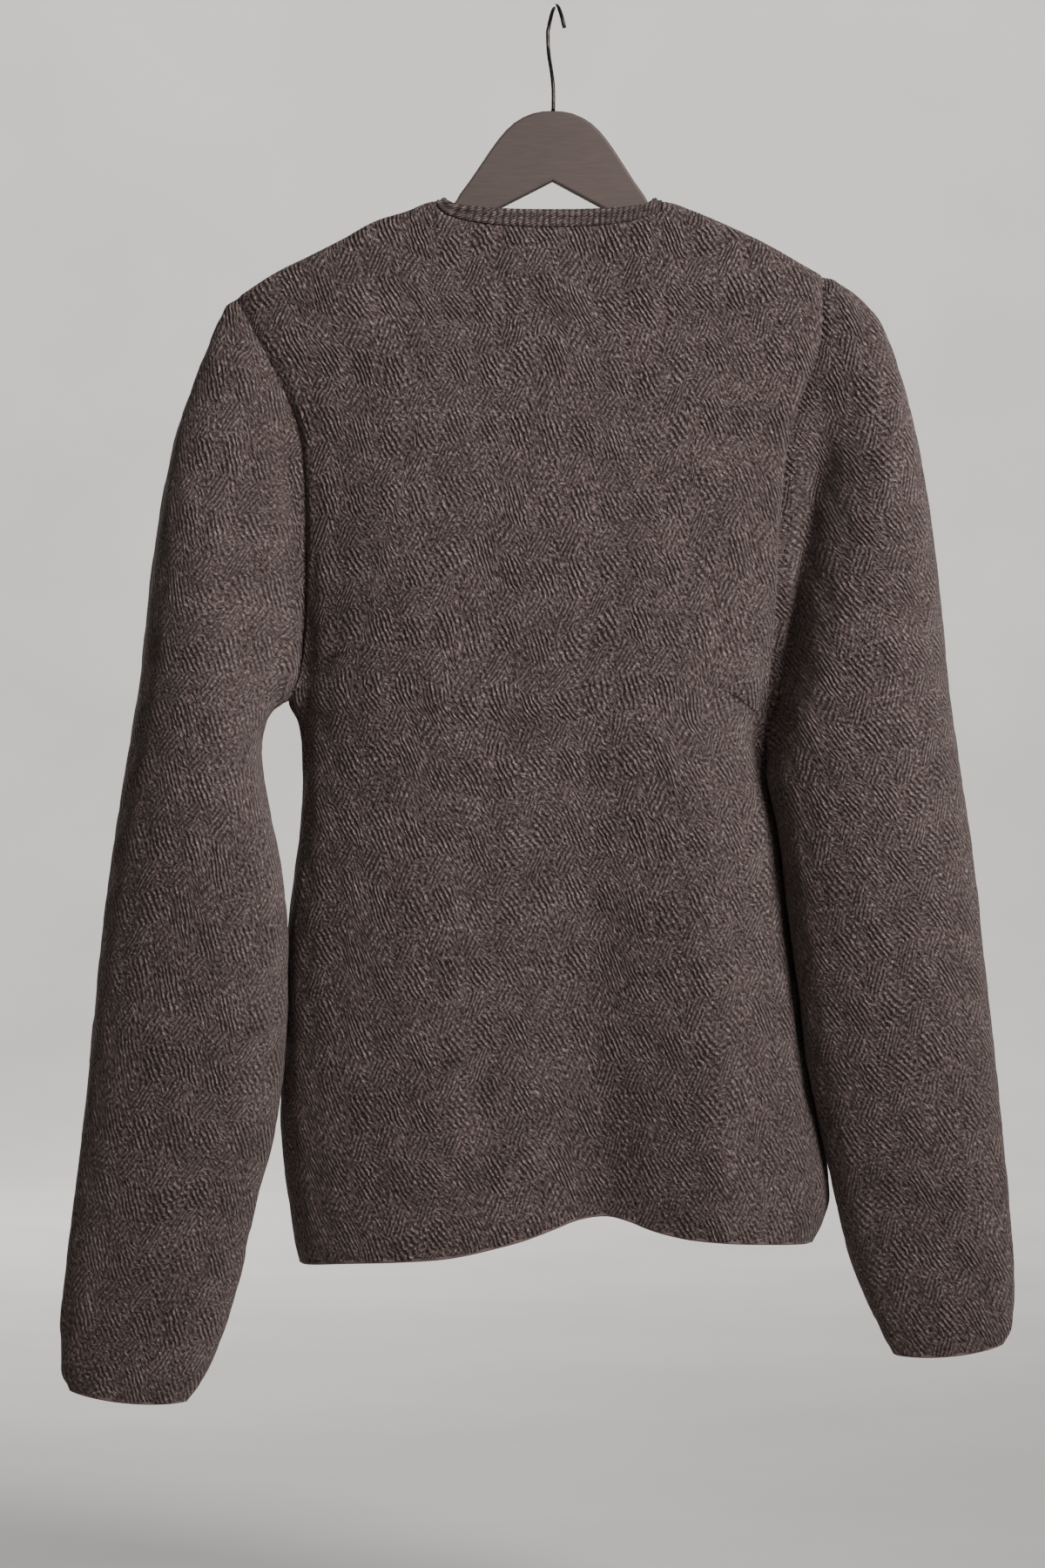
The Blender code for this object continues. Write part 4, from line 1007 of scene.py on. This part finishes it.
def knit_material():
    """Leaning ridges in a lattice of patches, clearer in some places than in others."""
    nodes = Nodes("marled_knit")
    plain_wales, plain_courses = nodes.stitches()
    wales, courses = wandering(nodes, plain_wales, plain_courses, 1.3)
    across = nodes.times(wales, 1.0 / REPEAT_WALES)
    down = nodes.times(courses, 1.0 / REPEAT_COURSES)

    place = nodes.vector(plain_wales, nodes.times(plain_courses, 0.6), 3.0)
    clear = nodes.clamped(nodes.noise(place, 0.10, 1.0), 2.2, -0.55)
    near_top = nodes.clamped(plain_courses, -1.0 / CLEAR_FADE, CLEAR_ROWS / CLEAR_FADE)
    clear = nodes.times(nodes.math("MAXIMUM", clear, near_top), 0.55)

    slanted = nodes.leaned(wales, courses, YARN_LEAN)
    grain = nodes.noise(nodes.vector(slanted, nodes.times(courses, 0.6)), 1.25, 1.0, 0.5)
    grain = nodes.clamped(grain, 2.8, -0.90)

    ridges = leaning_stitches(nodes, wales, courses, RAISED_LEAN, RAISED_PITCH)
    other = leaning_stitches(nodes, wales, courses, LESSER_LEAN, LESSER_PITCH)
    loose = nodes.add(nodes.times(grain, 0.66), nodes.times(ridges, 0.30))
    raised = nodes.times(nodes.patch(RAISED, across, down), nodes.add(clear, 0.40))
    lesser = nodes.times(nodes.patch(LESSER_STITCHES, across, down), nodes.add(clear, 0.30))
    height = nodes.mix(lesser, nodes.mix(raised, loose, ridges), other)

    fuzz = nodes.noise(nodes.vector(nodes.times(wales, 1.5), nodes.times(courses, 1.2)), 2.0, 3.0, 0.7)
    nodes.bump(nodes.add(height, nodes.times(fuzz, 0.5)), 0.0016)
    return nodes.wool(marl_with_painted_shade(nodes, wales, courses, height))


def seed_material():
    """Fine seed stitch: bumps in a chequer."""
    nodes = Nodes("seed_stitch")
    wales, courses = wandering(nodes, *nodes.stitches(), 0.3)
    first = nodes.wave(nodes.times(nodes.leaned(wales, courses, -1.0), 0.62))
    second = nodes.wave(nodes.times(nodes.leaned(wales, courses, 1.0), 0.62))
    height = nodes.math("POWER", nodes.times(first, second), 0.5)
    fuzz = nodes.noise(nodes.vector(nodes.times(wales, 4.0), nodes.times(courses, 3.0)), 3.0, 3.0, 0.7)
    nodes.bump(nodes.add(height, nodes.times(fuzz, 0.35)), 0.0009)
    return nodes.wool(marl_with_painted_shade(nodes, wales, courses, height))


def hanger_material():
    """Matt taupe paint over fine wood grain, with painted shade on the board's rounded edges."""
    nodes = Nodes("painted_wood")
    place = nodes.coordinates("Object")
    x, y, z = nodes.parts(place)
    along = nodes.vector(nodes.times(x, 9.0), nodes.times(y, 60.0), nodes.times(z, 120.0))
    grain = nodes.noise(along, 9.0, 4.0, 0.6)
    clouds = nodes.noise(place, 14.0, 3.0, 0.5)
    value = nodes.add(nodes.times(grain, 0.55), nodes.times(clouds, 0.45))
    colour = nodes.ramp(value, (0.32, (0.060, 0.0425, 0.0375)), (0.70, (0.087, 0.063, 0.0555)))
    # Painted shade: the colour darkens where the board's surface turns away from its flat faces, on the
    # rounded edges.
    facing = nodes.math("ABSOLUTE", nodes.parts(nodes.coordinates("Normal"))[1])
    shade = nodes.add(nodes.times(nodes.clamped(facing, 1.9, -0.72), 0.66), 0.34)
    nodes.put("Base Color", nodes.blend(1.0, colour, nodes.grey(shade), "MULTIPLY"))
    nodes.put("Roughness", 0.62)
    nodes.put("Specular IOR Level", 0.32)
    nodes.bump(grain, 0.00012, 0.6)
    return nodes.material


def speckled(name, noise, dark, pale, bump):
    """A material that varies between two colours, with the noise that does it."""
    nodes = Nodes(name)
    speckles = nodes.noise(nodes.coordinates("Object"), *noise)
    nodes.put("Base Color", nodes.ramp(speckles, dark, pale))
    nodes.bump(speckles, *bump)
    return nodes, speckles


def wire_material():
    """Dark bronzed steel, a little worn."""
    dark = (0.40, (0.020, 0.016, 0.014))
    pale = (0.75, (0.075, 0.060, 0.050))
    nodes, wear = speckled("dark_wire", (420.0, 3.0, 0.6), dark, pale, (0.00004, 0.5))
    nodes.put("Metallic", 0.85)
    nodes.put("Roughness", nodes.add(nodes.times(wear, 0.25), 0.22))
    return nodes.material


def button_material():
    """Dark horn with soft streaks."""
    dark = (0.38, (0.014, 0.010, 0.009))
    pale = (0.66, (0.060, 0.042, 0.033))
    nodes, _ = speckled("dark_horn", (210.0, 4.0, 0.6), dark, pale, (0.00006, 0.5))
    nodes.put("Roughness", 0.30)
    return nodes.material


def thread_material():
    dark = (0.35, (0.040, 0.028, 0.024))
    pale = (0.70, (0.120, 0.090, 0.078))
    nodes, _ = speckled("sewing_thread", (2600.0, 2.0, 0.5), dark, pale, (0.00008, 0.7))
    nodes.put("Roughness", 0.8)
    return nodes.material


def body_panels():
    """The back and the two fronts, with their wales counted from the middle line of the front."""
    back = Panel("back", troughs(body_grid(back_top(), True)), flip=True, seams="first last top")
    left = body_grid(front_top(True), False, end_x=BAND_LEFT_X, is_left=True)
    right = body_grid(front_top(False), False, end_x=BAND_RIGHT_X, is_left=False)
    panels = [
        back,
        Panel("front_left", left, seams="first top"),
        Panel("front_right", right, flip=True, seams="first top"),
    ]
    for panel in panels:
        grid = panel.grid
        middle = int(np.argmin(np.abs(grid[len(grid) // 2, :, 0] - CENTRE_FRONT_X)))
        across = np.linalg.norm(np.diff(grid[:, : middle + 1, :2], axis=1), axis=2)
        wales = panel.wales_from - np.sum(across, axis=1, keepdims=True) / WALE
        panel.wales_from = panel.wales_to = wales
    return panels


def sleeve_panel(name, sections, tip, underarm, edge_x, flip):
    """Its courses run across the sleeve's own line, and its wales are counted from that line."""
    grid = troughs(sleeve_grid(sections, tip, underarm, edge_x))
    panel = Panel(name, grid, closed=True, flip=flip, seams="top")
    half = grid.shape[1] // 2
    line = np.mean(grid[-1], axis=0) - np.mean(grid[0], axis=0)
    line = unit(line * np.array([1.0, 0.0, 1.0]))
    side = np.array([-line[2], 0.0, line[0]])
    full = wrapped(grid, True)
    aside = full @ side
    from_start = sums_across(np.stack([aside, full[..., 1]], axis=-1))
    from_end = from_start[:, -1:] - from_start
    toward = np.sign(aside[-1, half] - aside[-1, 0])
    leaning = -toward * np.sign(side[0])

    def shift(lengths, first):
        """How far the count round the tube is ahead of the place across it, over the middle of one side."""
        columns = slice(first + half // 5, first + half - half // 5)
        return np.mean((lengths - toward * aside)[:, columns], axis=1, keepdims=True)

    back_shift = shift(from_start, 0)
    front_shift = shift(from_end, half)
    front_shift = front_shift - front_shift[-1] - back_shift[-1]
    by_back = leaning * (from_start - back_shift) / WALE
    by_front = -leaning * (from_end - front_shift) / WALE
    index = np.arange(full.shape[1])
    panel.wales_from = np.where(index < half, by_back, by_front)
    panel.wales_to = np.where(index <= half, by_back, by_front)
    panel.courses = (full @ line) / COURSE
    return panel


def knitted_pieces(knit, seed):
    """Every knitted panel and band as a finely divided wall, in place of its plain solid."""
    panels = body_panels()
    back, left, right = (panel.grid for panel in panels)
    rim = neck_rim(left, right)
    seam = neck_line(left, right, back)
    panels += [
        sleeve_panel("sleeve_left", LEFT_SLEEVE, LEFT_TIP, LEFT_UNDERARM, left_edge_x, True),
        sleeve_panel("sleeve_right", RIGHT_SLEEVE, RIGHT_TIP, RIGHT_UNDERARM, right_edge_x, False),
        Panel("neckband", neckband_grid(rim, seam), flip=True),
        Panel("buttonhole_band", band_grid(left, rim[0], True)),
        Panel("button_band", band_grid(right, rim[-1], False), flip=True),
    ]
    meeting = shared_directions(panels)
    for panel in panels:
        is_band = panel.name in BANDS
        if is_band:
            relief = band_relief(panel)
        else:
            panel.courses = panel.courses + sagging(panel.wales_from, panel.courses)
            columns = slice(0, panel.grid.shape[1])
            relief = pattern_relief(panel.wales_from[:, columns], panel.courses[:, columns])
            distance = panel.seam_distance()
            relief = relief * ease(3.0, 9.0, distance) + seam_relief(distance)
        outer, inner = wall_points(panel, meeting, relief)
        piece = panel_mesh(panel, outer, inner, seed if is_band else knit)
        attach(piece, "root")
        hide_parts(panel.name)
    return {panel.name: panel for panel in panels}


def tube_along(name, points, radius, surface, closed):
    """A rounded strand along points given in millimetres, as a mesh."""
    curve = bpy.data.curves.new(name, "CURVE")
    curve.dimensions = "3D"
    curve.bevel_depth = radius * MM
    curve.bevel_resolution = 2
    curve.use_fill_caps = not closed
    spline = curve.splines.new("POLY")
    spline.points.add(len(points) - 1)
    for point, place in zip(spline.points, points):
        point.co = (*(Vector(place) * MM), 1.0)
    spline.use_cyclic_u = closed
    source = placed(name + "_line", curve)
    bpy.context.view_layer.update()
    mesh = bpy.data.meshes.new_from_object(source.evaluated_get(bpy.context.evaluated_depsgraph_get()))
    bpy.data.objects.remove(source)
    build = bmesh.new()
    build.from_mesh(mesh)
    bmesh.ops.remove_doubles(build, verts=build.verts, dist=0.00002)
    build.to_mesh(mesh)
    build.free()
    mesh.name = name
    mesh.materials.clear()
    mesh.materials.append(surface)
    mesh.shade_smooth()
    return placed(name, mesh)


def turned_button(name, surface):
    """One button, turned about its own axis, with a raised rim."""
    radius = BUTTON_DIAMETER / 2.0
    build = bmesh.new()
    verts = [
        build.verts.new((out * radius * MM, 0.0, up * BUTTON_THICKNESS * MM)) for out, up in BUTTON_PROFILE
    ]
    edges = [build.edges.new(pair) for pair in zip(verts, verts[1:])]
    bmesh.ops.spin(
        build, geom=verts + edges, cent=(0, 0, 0), axis=(0, 0, 1), angle=2.0 * math.pi,
        steps=48, use_merge=True,
    )
    bmesh.ops.remove_doubles(build, verts=build.verts, dist=0.00001)
    bmesh.ops.recalc_face_normals(build, faces=build.faces)
    mesh = bpy.data.meshes.new(name)
    build.to_mesh(mesh)
    build.free()
    mesh.shade_smooth()
    mesh.materials.append(surface)
    return placed(name, mesh)


def crossed_thread(number, place, surface):
    """Two strands that cross over the middle of a button and dip at their ends."""
    for strand, turn in enumerate((45.0, 135.0), start=1):
        angle = math.radians(turn)
        route = []
        for share in np.linspace(-1.0, 1.0, 9):
            along = share * THREAD_REACH
            rise = BUTTON_THICKNESS * 0.58 + 0.55 * (1.0 - share**4) - 0.45 * share**8
            local = Vector((along * math.cos(angle), along * math.sin(angle), rise)) * MM
            route.append((place @ local) / MM)
        stitch = tube_along(f"button_{number}_thread_{strand}", route, THREAD_RADIUS, surface, False)
        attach(stitch, "root")


def buttons(band, surface, thread):
    """Sewn-on buttons down the middle of the upper band."""
    middle = band.grid.shape[1] // 2
    line = band.grid[::-1, middle]
    normals = band.normals[::-1, middle]
    levels = np.linspace(line[-1][2] - FIRST_BUTTON_DROP, line[0][2] + LAST_BUTTON_RISE, BUTTON_COUNT)
    for number, level in enumerate(levels, start=1):
        made = turned_button(f"button_{number}_turned", surface)
        spot = [np.interp(level, line[:, 2], line[:, axis]) for axis in range(3)]
        out = Vector([np.interp(level, line[:, 2], normals[:, axis]) for axis in range(3)]).normalized()
        base = Vector(spot) + out * (WALL / 2.0 + BUTTON_STAND)
        turn = out.to_track_quat("Z", "Y").to_matrix().to_4x4()
        made.matrix_world = Matrix.Translation(base * MM) @ turn
        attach(made, "root")
        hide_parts(f"button_{number}")
        crossed_thread(number, made.matrix_world.copy(), thread)


def free_edges(panels, seed):
    """The rounded cast-off edge along the hem and round each cuff."""
    for name, of in (
        ("hem_edge_back", "back"),
        ("hem_edge_front_left", "front_left"),
        ("hem_edge_front_right", "front_right"),
        ("cuff_edge_left", "sleeve_left"),
        ("cuff_edge_right", "sleeve_right"),
    ):
        panel = panels[of]
        edge = tube_along(name, panel.grid[-1], WALL / 2.0 + EDGE_STAND, seed, panel.closed)
        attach(edge, "root")


def hook_route():
    """The wire's centre line: up from the hanger, back, round over the top and down to the tip."""
    radius = HOOK_INNER_RADIUS + HOOK_WIRE_DIAMETER / 2.0
    stem = [(0.0, 0.0, HANGER_TOP_Z + 0.3), (0.0, 0.0, -56.0), (0.2, 0.0, -50.0)]
    bend = [(0.8, -1.6, -44.0), (1.8, -5.4, -37.0), (2.9, -9.4, -30.0), (3.6, -11.8, -23.0)]
    start, stop = math.radians(-12.0), math.radians(196.0)
    over = []
    for angle in np.linspace(start, stop, 20):
        share = (angle - start) / (stop - start)
        x = mix(3.9, -6.6, share**1.15)
        over.append((x, -radius * math.cos(angle), radius * math.sin(angle) - HOOK_INNER_RADIUS))
    return stem + bend + over


def smooth_line(points, steps):
    """A smooth curve through points, with the two ends kept."""
    padded = np.array([points[0], *points, points[-1]], float)
    out = []
    for index in range(len(points) - 1):
        before, a, b, after = padded[index : index + 4]
        for step in range(steps):
            t = step / steps
            weights = (
                (-t + 2 * t**2 - t**3) / 2,
                (2 - 5 * t**2 + 3 * t**3) / 2,
                (t + 4 * t**2 - 3 * t**3) / 2,
                (-(t**2) + t**3) / 2,
            )
            out.append(sum(w * p for w, p in zip(weights, (before, a, b, after))))
    out.append(padded[-1])
    return out


def hook(surface):
    tilt = Matrix.Rotation(math.radians(-HANGER_TILT_DEGREES), 4, "Y")
    route = [tilt @ Vector(point) for point in smooth_line(hook_route(), 4)]
    made = tube_along("hook_wire", route, HOOK_WIRE_DIAMETER / 2.0, surface, False)
    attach(made, "root")
    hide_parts("hanger_hook")


def floor():
    """A pale floor that rises in a curve into a backdrop."""
    half_width, near_y, far_y, radius, top = 7.0, 7.0, -6.5, 2.5, 5.0
    bend = np.linspace(0.0, math.pi / 2.0, 17)
    rise = [(far_y + radius * (1 - math.sin(a)), FLOOR_Z + radius * (1 - math.cos(a))) for a in bend]
    profile = [(near_y, FLOOR_Z), *rise, (far_y, top)]
    points = [(side * half_width, y, z) for side in (-1, 1) for y, z in profile]
    count = len(profile)
    mesh = bpy.data.meshes.new("floor")
    mesh.from_pydata(points, [], [(i, i + 1, count + i + 1, count + i) for i in range(count - 1)])
    mesh.shade_smooth()
    pale = Nodes("pale_floor")
    tone = pale.noise(pale.coordinates("Object"), 3.0, 3.0)
    pale.put("Base Color", pale.ramp(tone, (0.3, (0.60, 0.575, 0.55)), (0.7, (0.66, 0.635, 0.61))))
    pale.put("Roughness", 0.9)
    mesh.materials.append(pale.material)
    placed("floor", mesh)


def lights():
    """The key light comes from the wearer's right and from behind, in a soft pale room."""
    for row in LIGHTS:
        light = bpy.data.lights.new(row.name, "AREA")
        light.shape = "RECTANGLE"
        light.size, light.size_y = row.size
        light.energy = row.power
        light.spread = math.radians(row.spread)
        lamp = placed(row.name, light)
        lamp.location = row.place
        toward = Vector(row.spot) - Vector(row.place)
        lamp.rotation_euler = toward.to_track_quat("-Z", "Y").to_euler()
        lamp.visible_camera = False
    world = bpy.data.worlds.new("soft_room")
    world.use_nodes = True
    background = world.node_tree.nodes["Background"]
    background.inputs["Color"].default_value = (0.86, 0.84, 0.82, 1.0)
    background.inputs["Strength"].default_value = 0.22
    bpy.context.scene.world = world


def camera():
    lens_data = bpy.data.cameras.new("photo_angle")
    lens_data.sensor_fit = "VERTICAL"
    lens_data.sensor_height = SENSOR_HEIGHT
    lens_data.lens = SENSOR_HEIGHT * CAMERA_DISTANCE / VIEW_HEIGHT
    made = placed("photo_angle", lens_data)
    made.location = (CAMERA_X, CAMERA_DISTANCE, CAMERA_Z)
    made.rotation_euler = (math.radians(90.0), 0.0, math.radians(180.0))
    bpy.context.scene.camera = made


def main():
    camera()
    knit = knit_material()
    seed = seed_material()
    panels = knitted_pieces(knit, seed)
    free_edges(panels, seed)
    buttons(panels["buttonhole_band"], button_material(), thread_material())
    hook(wire_material())
    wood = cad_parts["hanger_body"]
    wood.data.materials.clear()
    wood.data.materials.append(hanger_material())
    floor()
    lights()


main()
